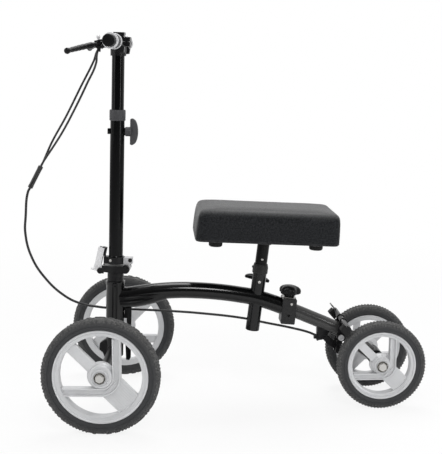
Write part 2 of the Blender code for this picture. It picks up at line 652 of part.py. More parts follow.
def make_front_axle():
    """The axle beam through a turned boss under the steerer, with a lug in front and a bolt end below."""
    beam = axle_beam("front_axle", front_axle, FRONT_TRACK, SATIN_BLACK)
    boss = [
        (0, up(CARRIER_TOP)), (CARRIER_RADIUS - 0.002, up(CARRIER_TOP)), (CARRIER_RADIUS, up(CARRIER_TOP) - 0.002),
        (CARRIER_RADIUS, 0.004 - CARRIER_DROP), (CARRIER_RADIUS - 0.004, -CARRIER_DROP),
        (0.0075, -CARRIER_DROP - 0.002), (0.0075, -CARRIER_BOLT_DROP), (0.0060, -CARRIER_BOLT_DROP - 0.002),
        (0, -CARRIER_BOLT_DROP - 0.002),
    ]
    lug = plate([[(0.0, 0.024), (-0.022, 0.021), (-0.034, 0.012), (-0.035, -0.003), (-0.027, -0.009),
                  (-0.021, -0.024), (-0.011, -0.028), (0.0, -0.012)]], 0.0120, upright=True)
    join(beam, turn(tool(profile_mesh(boss, closed=False), column), HEAD_SIDES), tool(lug, column))
    socket_floor = up(CARRIER_TOP - STEERER_SOCKET_DEPTH) - GAP
    socket = cylinder(STEERER_RADIUS + GAP, socket_floor, up(CARRIER_TOP) + 0.01, sides=HEAD_SIDES)
    cut(beam, tool(socket, column))


def make_stop_strut():
    """The post behind the head tube, with a short link to it and the clip that holds the brake cable."""
    outline = [
        (0.0310, 0.2420), (0.0440, 0.2420), (0.0425, 0.1850), (0.0400, 0.1060), (0.0365, 0.0990),
        (0.0290, 0.1000), (0.0280, 0.1350), (0.0320, 0.1850),
    ]
    strut = add("stop_strut", plate([outline], 0.0100, upright=True), BLACK_PAINT, chassis)
    link = box((0.0120, 0.0080, 0.0090), (0.0290, 0, 0.2040))
    tab = box((0.0070, CLIP_POINT[1], 0.0040), (CLIP_POINT[0] + 0.001, CLIP_POINT[1] / 2, CLIP_POINT[2]))
    ring = cylinder(0.0046, CLIP_POINT[0] - 0.003, CLIP_POINT[0] + 0.005, "X", 12, (0, CLIP_POINT[1], CLIP_POINT[2]))
    join(strut, tool(link, strut), tool(tab, strut), tool(ring, strut))
    hole = cylinder(CABLE_RADIUS + GAP, CLIP_POINT[0] - 0.010, CLIP_POINT[0] + 0.012, "X", 12,
                    (0, CLIP_POINT[1], CLIP_POINT[2]))
    head_clearance = tool(cylinder(HEAD_TUBE_RADIUS + GAP, up(0.100), up(0.300), sides=HEAD_SIDES), head)
    tube_clearance = tool(rod(main_tube_points(), MAIN_TUBE_RADIUS + GAP, FRAME_SIDES), chassis)
    gusset_clearance = tool(rod(gusset_points(), HEAD_GUSSET_RADIUS + GAP, FRAME_SIDES), chassis)
    cut(strut, tool(hole, strut), head_clearance, tube_clearance, gusset_clearance)


# Fold joint and steering column
def make_fold_block():
    outline = (
        [(-0.0260, -0.0120)] + arc((0, 0), BLOCK_HALF_WIDTH, -125, -90, 4)
        + [(LUG_FRONT + 0.0102, -BLOCK_HALF_WIDTH), (LUG_FRONT + 0.0102, BLOCK_HALF_WIDTH)]
        + arc((0, 0), BLOCK_HALF_WIDTH, 90, 125, 4) + [(-0.0260, 0.0120)]
    )
    mesh = plate([outline], UPPER_BLOCK_TOP - UPPER_BLOCK_BOTTOM, name="fold_block")
    mesh.transform(Matrix.Translation((0, 0, (up(UPPER_BLOCK_TOP) + up(UPPER_BLOCK_BOTTOM)) / 2)))
    block = add("fold_block", mesh, SATIN_BLACK, column)
    socket_floor = up(UPPER_BLOCK_TOP) - COLUMN_SOCKET_DEPTH
    socket = cylinder(COLUMN_TUBE_RADIUS + GAP, socket_floor, up(UPPER_BLOCK_TOP) + 0.01, sides=TUBE_SIDES)
    slot = box((0.030, 2 * (LUG_HALF_WIDTH + GAP), 0.06), (LUG_FRONT - GAP + 0.015, 0, up(UPPER_BLOCK_BOTTOM)))
    cut(block, tool(socket, column), tool(slot, column))


def make_fold_lug():
    """The bright lug between the upper block's cheeks, with the middle knuckle of the fold joint below it."""
    pin_x = FOLD_PIN_BEHIND_COLUMN
    lug_length = 0.0197
    lug_height = UPPER_BLOCK_HEIGHT - 0.0022
    lug_middle = up((UPPER_BLOCK_BOTTOM + UPPER_BLOCK_TOP) / 2)
    lug_mesh = box((lug_length, 2 * LUG_HALF_WIDTH, lug_height), (LUG_FRONT + lug_length / 2, 0, lug_middle))
    lug = add("fold_lug", lug_mesh, ALUMINIUM, column)
    pin_at = (pin_x, 0, up(FOLD_PIN_HEIGHT))
    knuckle = cylinder(KNUCKLE_RADIUS, -LUG_HALF_WIDTH + 0.0001, LUG_HALF_WIDTH - 0.0001, "Y", 24, pin_at)
    web_height = UPPER_BLOCK_BOTTOM + 0.0037 - FOLD_PIN_HEIGHT
    web_at = (pin_x + 0.001, 0, up(FOLD_PIN_HEIGHT) + web_height / 2)
    web = box((0.0130, 2 * LUG_HALF_WIDTH - 0.0004, web_height), web_at)
    join(lug, tool(web, column), tool(knuckle, column))
    hole = cylinder(FOLD_PIN_RADIUS + TURN_GAP, -0.05, 0.05, "Y", 16, pin_at)
    cut(lug, tool(hole, column))


def make_quick_release():
    """The cam lever that locks the fold: a channel-shaped handle on a round foot."""
    pivot = empty("lever_pivot", column, (-LEVER_PIVOT_AHEAD, 0, up(LEVER_PIVOT_HEIGHT)), (0, LEVER_LEAN, 0))
    foot = cylinder(LEVER_FOOT_RADIUS, -0.0080, 0.0080, "Y", 20)
    lever = add("quick_release_lever", foot, BRIGHT_STEEL, pivot)
    handle_start = LEVER_FOOT_RADIUS + 0.0017
    handle_middle = (handle_start + LEVER_LENGTH) / 2
    handle = box((0.0140, 0.0200, LEVER_LENGTH - handle_start), (-0.0080, 0, handle_middle))
    neck = box((0.0200, 0.0156, 0.0140), (-0.0060, 0, 0.0045))
    toe = box((0.0080, 0.0156, 0.0030), (-0.0180, 0, -0.0010))
    join(lever, tool(neck, lever), tool(handle, lever), tool(toe, lever))
    channel = box((0.0140, 0.0150, LEVER_LENGTH), (-0.0055, 0, 0.0150 + LEVER_LENGTH / 2))
    hole = cylinder(0.0030 + GAP, -0.02, 0.02, "Y", 12)
    cut(lever, tool(channel, lever), tool(hole, lever))


def make_column_tube():
    bottom = up(UPPER_BLOCK_TOP) - COLUMN_SOCKET_DEPTH + GAP
    top = up(COLLAR_TOP) - 0.005
    bore = HANDLE_TUBE_RADIUS + SLIDE_GAP
    section = [(bore, top), (COLUMN_TUBE_RADIUS, top), (COLUMN_TUBE_RADIUS, bottom), (bore, bottom)]
    tube = turn(add("column_tube", profile_mesh(section), BLACK_PAINT, column), TUBE_SIDES)
    boss = box((0.0080, 0.0130, 0.0130), (-COLUMN_TUBE_RADIUS - 0.0028, 0, up(COLUMN_KNOB_HEIGHT)))
    nut = cylinder(0.0090, COLUMN_TUBE_RADIUS - 0.001, COLUMN_TUBE_RADIUS + 0.0020, "X", BOLT_SIDES,
                   (0, 0, up(COLUMN_KNOB_HEIGHT)))
    join(tube, tool(boss, column), tool(nut, column))
    hole = cylinder(0.0040 + GAP, 0.0100, 0.0400, "X", 12, (0, 0, up(COLUMN_KNOB_HEIGHT)))
    bore_again = cylinder(bore, bottom - 0.01, top + 0.01, sides=TUBE_SIDES)
    cut(tube, tool(hole, column), tool(bore_again, column))


def make_column_collar():
    lip = up(COLLAR_TOP) - 0.005 + GAP
    wide = COLUMN_TUBE_RADIUS + GAP
    narrow = HANDLE_TUBE_RADIUS + SLIDE_GAP
    section = [
        (narrow, up(COLLAR_TOP)), (COLLAR_RADIUS - 0.0012, up(COLLAR_TOP)), (COLLAR_RADIUS, up(COLLAR_TOP) - 0.0015),
        (COLLAR_RADIUS, up(COLLAR_BOTTOM) + 0.0010), (COLLAR_RADIUS - 0.0008, up(COLLAR_BOTTOM)),
        (wide, up(COLLAR_BOTTOM)), (wide, lip), (narrow, lip),
    ]
    turn(add("column_collar", profile_mesh(section), GREY_PLASTIC, column), TUBE_SIDES)


def make_wing_knob(name, parent, tube_radius, inner_radius):
    """A half-moon wing on a fluted neck, with a screw that passes the tube's wall. Its own Z runs away from the tube."""
    neck_start = tube_radius + 0.0020 + GAP
    wing_start = neck_start + 0.0105
    knob = add(name, cylinder(0.0105, neck_start, wing_start + 0.004, sides=16), GREY_PLASTIC, parent)
    across = [-1 + step / 5 for step in range(11)]
    edge = [(0.030 * t, wing_start + 0.005 + 0.0125 * (1 - t * t) ** 0.5) for t in across]
    outline = [(-0.0285, wing_start)] + edge + [(0.0285, wing_start)]
    wing = tool(plate([outline], 0.0120, upright=True), knob)
    soften(wing, 0.0014)
    screw = cylinder(0.0040, inner_radius + 0.0006, neck_start + 0.002, sides=12)
    join(knob, wing, tool(screw, knob))


# Handlebar and brake levers
def make_handle_tube():
    top = up(BAR_HEIGHT) - BAR_RADIUS - 0.0080
    bottom = up(HANDLE_TUBE_BOTTOM)
    inner = HANDLE_TUBE_RADIUS - HANDLE_TUBE_WALL
    section = [(inner, top), (HANDLE_TUBE_RADIUS, top), (HANDLE_TUBE_RADIUS, bottom), (inner, bottom)]
    turn(add("handle_tube", profile_mesh(section), BLACK_PAINT, column), TUBE_SIDES)


def make_bar_clamp():
    """The stem: a split barrel round the bar, over a socket on the handle tube, with two bolt lugs."""
    centre = up(BAR_HEIGHT)
    clamp = add("bar_clamp", cylinder(BAR_RADIUS + GAP + BAR_CLAMP_WALL, -0.022, 0.022, "Y", BAR_SIDES, (0, 0, centre)), SATIN_BLACK, column)
    socket = cylinder(HANDLE_TUBE_RADIUS + 0.0034, centre - 0.030, centre - 0.002, sides=TUBE_SIDES)
    rear_lug = box((0.0110, 0.0300, 0.0200), (BAR_RADIUS + 0.0105, 0, centre + 0.001))
    top_lug = box((0.0240, 0.0300, 0.0060), (0.0020, 0, centre + BAR_RADIUS + 0.0070))
    join(clamp, tool(socket, column), tool(rear_lug, column), tool(top_lug, column))
    bar_bore = cylinder(BAR_RADIUS + GAP, -0.05, 0.05, "Y", BAR_SIDES, (0, 0, centre))
    tube_bore = cylinder(HANDLE_TUBE_RADIUS + GAP, centre - 0.05, centre - BAR_RADIUS - 0.0080 + GAP, sides=TUBE_SIDES)
    split = box((0.0200, 0.0500, 0.0016), (BAR_RADIUS + 0.0110, 0, centre + 0.001))
    cut(clamp, tool(bar_bore, column), tool(tube_bore, column), tool(split, column))


def make_handlebar():
    half = BAR_HALF_LENGTH - BAR_END_WALL
    add("handlebar", cylinder(BAR_RADIUS, -half, half, "Y", BAR_SIDES, (0, 0, up(BAR_HEIGHT))), BLACK_PAINT, column)


def make_grip(side):
    """A rubber sleeve between two flanges, with a cap beyond the outer flange that closes the bar's end."""
    name = SIDE_NAMES[side]
    line = empty("grip_line_" + name, column, (0, 0, up(BAR_HEIGHT)), outwards(side))
    bore = BAR_RADIUS + GAP
    flange = GRIP_RADIUS + GRIP_FLANGE_REACH
    cap = GRIP_RADIUS - GRIP_FLANGE_REACH
    bar_end = BAR_HALF_LENGTH - BAR_END_WALL
    section = [
        (0, BAR_HALF_LENGTH), (cap - 0.0030, BAR_HALF_LENGTH), (cap, BAR_HALF_LENGTH - 0.0025), (cap, GRIP_END),
        (flange, GRIP_END), (flange, GRIP_END - 0.007), (GRIP_RADIUS, GRIP_END - 0.008),
        (GRIP_RADIUS, GRIP_START + 0.006), (flange, GRIP_START + 0.005), (flange, GRIP_START),
        (bore, GRIP_START), (bore, bar_end + GAP), (0, bar_end + GAP),
    ]
    turn(add("grip_" + name, profile_mesh(section, closed=False), GRIP_RUBBER, line), BAR_SIDES)


def make_brake(side, droop, boot_lean):
    """The perch clamped on the bar, with its fork and pivot pin, and the lever that turns in the fork."""
    name = SIDE_NAMES[side]
    frame = empty("brake_" + name, column, (0, 0, up(BAR_HEIGHT)), (0, -droop, 0))
    at = side * PERCH_AT
    body = (
        arc((0, 0), BAR_RADIUS + 0.0052, 150, 60, 4) + arc((0, 0), BAR_RADIUS + 0.0052, 30, -30, 3)
        + [(0.0185, -0.0150), (0.0160, -0.0255), (0.0060, -0.0265), (0.0020, -0.0160)]
        + [(-0.0130, -0.0110), (-LEVER_AXIS_AHEAD - 0.0080, -0.0085), (-LEVER_AXIS_AHEAD - 0.0095, 0.0075)]
        + [(-0.0200, 0.0090)]
    )
    mesh = plate([body], PERCH_WIDTH, upright=True, name="brake_perch")
    mesh.transform(Matrix.Translation((0, at, 0)))
    perch = add("brake_perch_" + name, mesh, BLACK_PLASTIC, frame)
    boot = empty("cable_boot_" + name, frame, (-LEVER_AXIS_AHEAD, at, 0), (0, boot_lean, 0))
    join(perch, tool(cylinder(0.0042, -0.0170, -0.0060, sides=BOLT_SIDES), boot))
    pivot_at = (-LEVER_AXIS_AHEAD, at, 0)
    slot = box((0.0230, 0.0300, 0.0090), (-LEVER_AXIS_AHEAD + 0.0005, at, 0.0001))
    bar_hole = cylinder(BAR_RADIUS + GAP, at - 0.03, at + 0.03, "Y", BAR_SIDES)
    cable_hole = cylinder(UPPER_CABLE_RADIUS + 0.0006, -0.0300, GAP - CABLE_BOOT_DEPTH, sides=CABLE_SIDES)
    cut(perch, tool(slot, frame), tool(bar_hole, frame), tool(cable_hole, boot))
    join(perch, tool(cylinder(0.0024, -0.0072, 0.0115, sides=12, at=pivot_at), frame))
    make_brake_lever(name, side, empty("lever_pivot_" + name, frame, pivot_at))


def make_brake_lever(name, side, pivot):
    """A waved blade that runs forwards and outwards from the pivot to a ball end."""
    root = add("brake_lever_" + name, cylinder(0.0072, -0.0041, 0.0041, sides=16), BLACK_PLASTIC, pivot)
    way = [(-0.004, 0.003), (-0.014, 0.010), (-0.0235, 0.0205), (-0.0310, 0.0330), (-0.0370, 0.0470),
           (-0.0420, 0.0610), (-0.0470, 0.0750), (-0.0510, 0.0870), (-0.0535, 0.0950)]
    route = smooth_route([(forward, side * out, 0) for forward, out in way], 0.0080)
    shares = [1.10 - 0.28 * step / len(route) + 0.06 * math.sin(2 * math.pi * step / 3) for step in range(len(route))]
    shares[0] = 0.85
    shares[1] = 0.90
    blade = rod(route, 0.0048, 10, shares)
    tip = ball(0.0061, route[-1] + Vector((-0.001, side * 0.002, 0)))
    join(root, tool(blade, pivot), tool(tip, pivot))
    cut(root, tool(cylinder(0.0024 + GAP, -0.02, 0.02, sides=12), pivot))


# Cables
def cable(name, points, radius, parent=None):
    add(name, rod(smooth_route(points, radius * 7), radius, CABLE_SIDES, name=name), CABLE_COVER, parent or chassis)


def make_upper_cables():
    for side, way in ((NEAR, NEAR_CABLE), (FAR, FAR_CABLE)):
        name = SIDE_NAMES[side]
        boot = bpy.data.objects["cable_boot_" + name]
        start = in_chassis(boot, (0, 0, -CABLE_BOOT_DEPTH))
        below = in_chassis(boot, (0, 0, -CABLE_BOOT_DEPTH - 0.010))
        seat = Vector(COUPLER_TOP) + Vector((0, side * (UPPER_CABLE_RADIUS + GAP), 0))
        rise = BAR_HEIGHT - COUPLER_TOP[2]
        route = [(x, y, COUPLER_TOP[2] + rise * share) for x, y, share in way]
        along = (Vector(COUPLER_TOP) - Vector(COUPLER_BOTTOM)).normalized()
        cable("brake_cable_" + name, [start, below, *route, seat + along * 0.0065, seat + along * GAP], UPPER_CABLE_RADIUS)


def make_coupler():
    """The barrel that joins both hand cables to the one that runs to the rear."""
    top = Vector(COUPLER_TOP)
    bottom = Vector(COUPLER_BOTTOM)
    length = (top - bottom).length
    turned = (top - bottom).to_track_quat("Z", "Y").to_euler()
    line = empty("coupler_line", chassis, bottom, turned)
    waist = COUPLER_RADIUS - 0.0006
    section = [
        (0, length), (COUPLER_RADIUS - 0.001, length), (COUPLER_RADIUS, length - 0.001),
        (COUPLER_RADIUS, length - 0.007), (waist, length - 0.008), (waist, 0.008), (COUPLER_RADIUS, 0.007),
        (COUPLER_RADIUS, 0.001), (COUPLER_RADIUS - 0.001, 0), (0, 0),
    ]
    turn(add("cable_coupler", profile_mesh(section, closed=False), GREY_PLASTIC, line), BOLT_SIDES)


def make_lower_cables():
    along = (Vector(COUPLER_TOP) - Vector(COUPLER_BOTTOM)).normalized()
    start = Vector(COUPLER_BOTTOM) - along * GAP
    clip = Vector(CLIP_POINT)
    lead = Vector((0.012, 0, 0))
    cable("cable_loop", [start, start - along * 0.010, *CABLE_LOOP, clip - lead * 0.5, clip], CABLE_RADIUS)
    stop = Vector(CABLE_STOP_POINT)
    back = Vector((0.012, -0.0002, -0.0052))
    cable("cable_run", [clip + Vector((GAP, 0, 0)), clip + lead * 0.5, *CABLE_RUN, stop - 2 * back, stop - back, stop], CABLE_RADIUS)


# Main frame
def main_tube_points():
    """The main tube's middle line: it leaves the head, rises a little and falls away to the rear clamp."""
    way = MAIN_TUBE_FRONT + [(CLAMP_X + behind, CLAMP_HEIGHT + above) for behind, above in MAIN_TUBE_REAR]
    return smooth_route([(x, 0, z) for x, z in way], 0.040)


def gusset_points():
    """The rounded gusset under the main tube's front end."""
    return smooth_route([(x, 0, z) for x, z in HEAD_GUSSET_LINE], 0.030)


def rear_tube_points():
    return smooth_route([(WHEELBASE + x, 0, REAR_WHEEL_RADIUS + z) for x, z in REAR_TUBE_LINE], 0.026)


def make_main_tube():
    tube = add("main_tube", rod(main_tube_points(), MAIN_TUBE_RADIUS, FRAME_SIDES), BLACK_PAINT, chassis)
    join(tube, tool(rod(gusset_points(), HEAD_GUSSET_RADIUS, FRAME_SIDES), chassis))
    head_cut = tool(cylinder(HEAD_TUBE_RADIUS + GAP, up(0.150), up(0.340), sides=HEAD_SIDES), head)
    seat_cut = tool(cylinder(RECEIVER_RADIUS + GAP, -0.05, 0.20, sides=TUBE_SIDES), seat_line)
    cut(tube, head_cut, seat_cut)


def make_rear_clamp():
    """The block that grips the main tube in front and the rear tube behind."""
    half = CLAMP_HALF_LENGTH
    outline = [(-half + 0.0015, -CLAMP_BOTTOM), (half - 0.0015, -CLAMP_BOTTOM), (half, -CLAMP_BOTTOM + 0.0020),
               (half, CLAMP_TOP - 0.0025), (half - 0.0020, CLAMP_TOP), (-half + 0.0020, CLAMP_TOP),
               (-half, CLAMP_TOP - 0.0025), (-half, -CLAMP_BOTTOM + 0.0020)]
    block = add("rear_clamp", plate([outline], 2 * CLAMP_HALF_WIDTH, upright=True), SATIN_BLACK, clamp)
    soften(block, 0.0040, 2, 80)
    way = main_tube_points()
    way.append(way[-1] + (way[-1] - way[-2]).normalized() * 0.0040)
    main_bore = tool(rod(way, MAIN_TUBE_RADIUS + GAP, FRAME_SIDES), chassis)
    rear_bore = tool(rod(rear_tube_points(), REAR_TUBE_RADIUS + GAP, FRAME_SIDES), chassis)
    knob_hole = tool(cylinder(0.0040 + GAP, CLAMP_TOP - 0.0060, CLAMP_TOP + 0.0100, sides=12), clamp)
    side_hole = cylinder(0.0032, -CLAMP_HALF_WIDTH - 0.01, -CLAMP_HALF_WIDTH + 0.006, "Y", 12, (0, 0, -0.0120))
    cut(block, main_bore, rear_bore, knob_hole, tool(side_hole, clamp))


def star_head(radius, thickness):
    """A disc with five lobes and chamfered rims."""
    bm = bmesh.new()
    bmesh.ops.create_cone(bm, cap_ends=True, segments=30, radius1=radius, radius2=radius, depth=thickness)
    for height in (-0.32 * thickness, 0.32 * thickness):
        everything = bm.verts[:] + bm.edges[:] + bm.faces[:]
        bmesh.ops.bisect_plane(bm, geom=everything, plane_co=(0, 0, height), plane_no=(0, 0, 1))
    for corner in bm.verts:
        angle = math.atan2(corner.co.y, corner.co.x)
        share = 1 + 0.18 * math.cos(5 * angle)
        if abs(corner.co.z) > 0.49 * thickness:
            share *= 0.9
        corner.co.xy = corner.co.xy * share
    return smooth(mesh_from(bm, "star_head"))


def make_star_knob():
    """A lobed hand knob on a short neck, screwed into the rear clamp."""
    frame = empty("star_knob_axis", clamp)
    base = CLAMP_TOP + GAP
    knob = add("star_knob", cylinder(0.0130, base, base + 0.0110, sides=16), BLACK_PLASTIC, frame)
    head_shape = tool(star_head(STAR_KNOB_RADIUS, 0.0180), knob, (0, 0, base + 0.0190))
    screw = cylinder(0.0040, base - 0.0050, base + 0.002, sides=BOLT_SIDES)
    join(knob, head_shape, tool(screw, knob))


def make_rear_tube():
    tube = add("rear_tube", rod(rear_tube_points(), REAR_TUBE_RADIUS, FRAME_SIDES), BLACK_PAINT, chassis)
    axle_cut = tool(cylinder(REAR_SLEEVE_RADIUS + GAP, -0.05, 0.05, "Y", 20), rear_axle)
    bolt_cut = tool(cylinder(PIVOT_BOLT_RADIUS + GAP, -0.05, 0.05, "Y", 12), yoke_axis)
    cut(tube, axle_cut, bolt_cut)


def make_rear_axle():
    beam = axle_beam("rear_axle", rear_axle, REAR_TRACK, SATIN_BLACK)
    join(beam, tool(cylinder(REAR_SLEEVE_RADIUS, -0.0240, 0.0240, "Y", 20), beam))


def make_pivot_bolt():
    """The bolt through the rear tube that the brake yoke turns on."""
    reach = REAR_TUBE_RADIUS + YOKE_CHEEK_CLEARANCE + YOKE_CHEEK_THICKNESS + GAP
    bolt_mesh = cylinder(PIVOT_BOLT_RADIUS, -reach - 0.001, reach + 0.001, "Y", 12)
    bolt = add("pivot_bolt", bolt_mesh, BRIGHT_STEEL, yoke_axis)
    for side in (NEAR, FAR):
        low, high = sorted((side * reach, side * (reach + 0.0040)))
        join(bolt, tool(cylinder(0.0070, low, high, "Y", 12), bolt))


# Rear brake
def ray_point(degrees, radius):
    """A point in the rear wheel's plane, seen from the yoke's pivot."""
    angle = math.radians(degrees)
    return (REAR_PIVOT_AHEAD + radius * math.cos(angle), radius * math.sin(angle) - REAR_PIVOT_ABOVE)


def make_brake_yoke():
    """Two cheeks beside the rear tube, a bar across above it with a steel holder at each end, and a pin below."""
    bar_x, bar_z = ray_point(132.0, REAR_WHEEL_RADIUS + YOKE_BAR_OUTSIDE_WHEEL)
    pin_x, pin_z = -YOKE_PIN_AHEAD, -YOKE_PIN_BELOW
    half = REAR_TRACK / 2 + SHOE_WIDTH / 2
    yoke = add("brake_yoke", cylinder(YOKE_BAR_RADIUS, -half, half, "Y", 16, (bar_x, 0, bar_z)), SATIN_BLACK, yoke_axis)
    cheek = (
        arc((0, 0), 0.0105, 20, -70, 5) + arc((pin_x, pin_z), 0.0068, -20, -160, 5)
        + arc((0, 0), 0.0105, 215, 160, 3) + arc((bar_x, bar_z), 0.0085, 170, 0, 6)
    )
    inner = REAR_TUBE_RADIUS + YOKE_CHEEK_CLEARANCE
    for side in (NEAR, FAR):
        mesh = plate([cheek], YOKE_CHEEK_THICKNESS, upright=True)
        mesh.transform(Matrix.Translation((0, side * (inner + YOKE_CHEEK_THICKNESS / 2), 0)))
        join(yoke, tool(mesh, yoke))
        holder_foot = REAR_WHEEL_RADIUS + SHOE_CLEARANCE + 0.0010
        holder = box((0.0296, SHOE_WIDTH, 0.0025), (0.0148 + holder_foot, side * REAR_TRACK / 2, 0))
        join(yoke, tool(holder, rear_axle, rotation=(0, -math.radians(131.0), 0)))
    cross_pin = cylinder(YOKE_PIN_RADIUS, -inner - 0.001, inner + 0.001, "Y", 12, (pin_x, 0, pin_z))
    join(yoke, tool(cross_pin, yoke))
    cut(yoke, tool(cylinder(PIVOT_BOLT_RADIUS + TURN_GAP, -0.03, 0.03, "Y", 16), yoke))


def make_brake_shoes():
    """Rubber blocks in front of the steel holders, hollowed to the tyre's curve."""
    low = REAR_WHEEL_RADIUS + SHOE_CLEARANCE
    high = low + SHOE_DEPTH
    inner = [ray_point(132.4 + 14.0 * step / 4, low) for step in range(5)]
    outer = [ray_point(145.5 - 13.1 * step / 3, high) for step in range(4)]
    bar_x, bar_z = ray_point(132.0, REAR_WHEEL_RADIUS + YOKE_BAR_OUTSIDE_WHEEL)
    for side in (NEAR, FAR):
        mesh = plate([inner + outer], SHOE_WIDTH, upright=True)
        mesh.transform(Matrix.Translation((0, side * REAR_TRACK / 2, 0)))
        shoe = add("brake_shoe_" + SIDE_NAMES[side], mesh, BLOCK_RUBBER, yoke_axis)
        cut(shoe, tool(cylinder(YOKE_BAR_RADIUS + GAP, -0.12, 0.12, "Y", 16, (bar_x, 0, bar_z)), shoe))


def make_brake_link():
    """The clevis between the cable's end and the pin of the yoke."""
    line = empty("link_axis", yoke_axis, (-YOKE_PIN_AHEAD, 0, -YOKE_PIN_BELOW))
    outline = (
        arc((0, 0), 0.0078, -60, 60, 5) + [(-0.0170, 0.0290), (-0.0300, 0.0365), (-0.0335, 0.0240), (-0.0240, 0.0130)]
        + arc((0, 0), 0.0078, 165, 240, 4)
    )
    link = add("brake_link", plate([outline], 0.0120, upright=True), SATIN_BLACK, line)
    cut(link, tool(cylinder(YOKE_PIN_RADIUS + GAP, -0.02, 0.02, "Y", 12), link))


def make_cable_stop():
    """A tab under the rear tube that holds the end of the cable's cover."""
    x, y, z = CABLE_STOP_POINT
    tab = add("cable_stop", box((0.0040, 0.0140, 0.0400), (x + GAP - 0.0050, 0, z + 0.0120)), SATIN_BLACK, chassis)
    sleeve = cylinder(0.0050, x - 0.0130, x + 0.0030, "X", 14, (0, y, z))
    join(tab, tool(sleeve, tab))
    start = Vector(CABLE_STOP_POINT) - Vector((0.012, -0.0002, -0.0052)) * 1.6
    bore = rod([start, Vector(CABLE_STOP_POINT) + Vector((GAP, 0, 0))], CABLE_RADIUS + GAP + 0.0002, 12)
    tube_clearance = tool(rod(rear_tube_points(), REAR_TUBE_RADIUS + GAP, FRAME_SIDES), chassis)
    cut(tab, tool(bore, chassis), tube_clearance)


# Seat
def make_receiver():
    bore = SEAT_POST_RADIUS + SLIDE_GAP
    section = [
        (bore, RECEIVER_LENGTH), (RECEIVER_RADIUS, RECEIVER_LENGTH), (RECEIVER_RADIUS, 0.001),
        (RECEIVER_RADIUS - 0.0008, 0), (bore, 0),
    ]
    tube = turn(add("seat_receiver", profile_mesh(section), BLACK_PAINT, seat_line), TUBE_SIDES)
    nut = cylinder(0.0090, 0.0150, 0.0180, "Y", BOLT_SIDES, (0, 0, SEAT_KNOB_ALONG))
    bolt_end = cylinder(0.0055, -0.0195, -0.0150, "Y", BOLT_SIDES, (0, 0, SEAT_KNOB_ALONG))
    join(tube, tool(nut, tube), tool(bolt_end, tube))
    hole = cylinder(0.0040 + GAP, 0.0100, 0.0300, "Y", BOLT_SIDES, (0, 0, SEAT_KNOB_ALONG))
    cut(tube, tool(hole, tube), tool(cylinder(bore, -0.02, RECEIVER_LENGTH + 0.02, sides=TUBE_SIDES), tube))


def make_seat_collar():
    narrow = SEAT_POST_RADIUS + SLIDE_GAP
    wide = RECEIVER_RADIUS + GAP
    shoulder = RECEIVER_LENGTH + GAP
    section = [
        (narrow, shoulder + 0.0200), (narrow + 0.0012, shoulder + 0.0200), (SEAT_COLLAR_RADIUS, shoulder + 0.0130),
        (SEAT_COLLAR_RADIUS, shoulder - 0.0100), (wide, shoulder - 0.0100), (wide, shoulder), (narrow, shoulder),
    ]
    turn(add("seat_collar", profile_mesh(section), BLACK_PLASTIC, seat_line), TUBE_SIDES)


def make_seat_post():
    top = SEAT_RISE
    inner = SEAT_POST_RADIUS - HANDLE_TUBE_WALL
    section = [(inner, top), (SEAT_POST_RADIUS, top), (SEAT_POST_RADIUS, SEAT_POST_START), (inner, SEAT_POST_START)]
    post = turn(add("seat_post", profile_mesh(section), BLACK_PAINT, seat_line), TUBE_SIDES)
    under_plate = tool(box((0.2, 0.2, 0.06), (0, 0, 0.03 - PLATE_THICKNESS - GAP)), seat_top)
    snap_hole = tool(cylinder(0.0035, -0.0300, 0.0, "Y", 12, (0, 0, SEAT_RISE - SNAP_HOLE_BELOW_PAD)), post)
    cut(post, snap_hole, under_plate)


def make_seat_plate():
    """The steel plate under the pad, with the socket that sits on the post."""
    outline = []
    for turn_index, (sx, sy) in enumerate(((1, 1), (-1, 1), (-1, -1), (1, -1))):
        centre = (sx * (PLATE_LENGTH / 2 - PLATE_CORNER), sy * (PLATE_WIDTH / 2 - PLATE_CORNER))
        outline += arc(centre, PLATE_CORNER, 90 * turn_index, 90 * turn_index + 90, 5)
    mesh = plate([outline], PLATE_THICKNESS - GAP)
    mesh.transform(Matrix.Translation((0, 0, -(PLATE_THICKNESS + GAP) / 2)))
    sheet = add("seat_plate", mesh, SATIN_BLACK, seat_top)
    collar = cylinder(SEAT_POST_RADIUS + 0.0040, SEAT_RISE - 0.0180, SEAT_RISE - PLATE_THICKNESS / 2, sides=TUBE_SIDES)
    bore = cylinder(SEAT_POST_RADIUS + GAP, SEAT_RISE - 0.03, SEAT_RISE - PLATE_THICKNESS + 0.0015, sides=TUBE_SIDES)
    join(sheet, tool(collar, seat_line))
    cut(sheet, tool(bore, seat_line))


def make_bumpers():
    for end, along in (("front", -BUMPER_FROM_CENTRE), ("rear", BUMPER_FROM_CENTRE)):
        for side in (NEAR, FAR):
            top = -PLATE_THICKNESS - GAP
            section = [(0, top), (BUMPER_RADIUS, top), (BUMPER_RADIUS, top - BUMPER_HEIGHT + 0.0030),
                       (BUMPER_RADIUS - 0.0030, top - BUMPER_HEIGHT), (0, top - BUMPER_HEIGHT)]
            place = (along, side * BUMPER_HALF_SPACING, 0)
            name = "bumper_" + end + "_" + SIDE_NAMES[side]
            turn(add(name, profile_mesh(section, closed=False), BLOCK_RUBBER, seat_top, place), 16)


def pad_point(along, across, level):
    """Where a point of a unit cage lies on the pad: along and across from -1 to 1, level from 0 to 1."""
    drawn_in = PAD_SIDE_WAIST * math.sin(math.pi * level)
    half_length = PAD_LENGTH / 2 - drawn_in
    half_width = PAD_WIDTH / 2 - drawn_in
    lean = PAD_FRONT_SLOPE * level if along < -0.99 else 0.0
    x = along * half_length + lean
    y = across * half_width
    dome = PAD_CROWN * (1 - along ** 2) * (1 - across ** 2)
    z = GAP + (PAD_THICKNESS + dome) * level if level else GAP
    return (x, y, z)


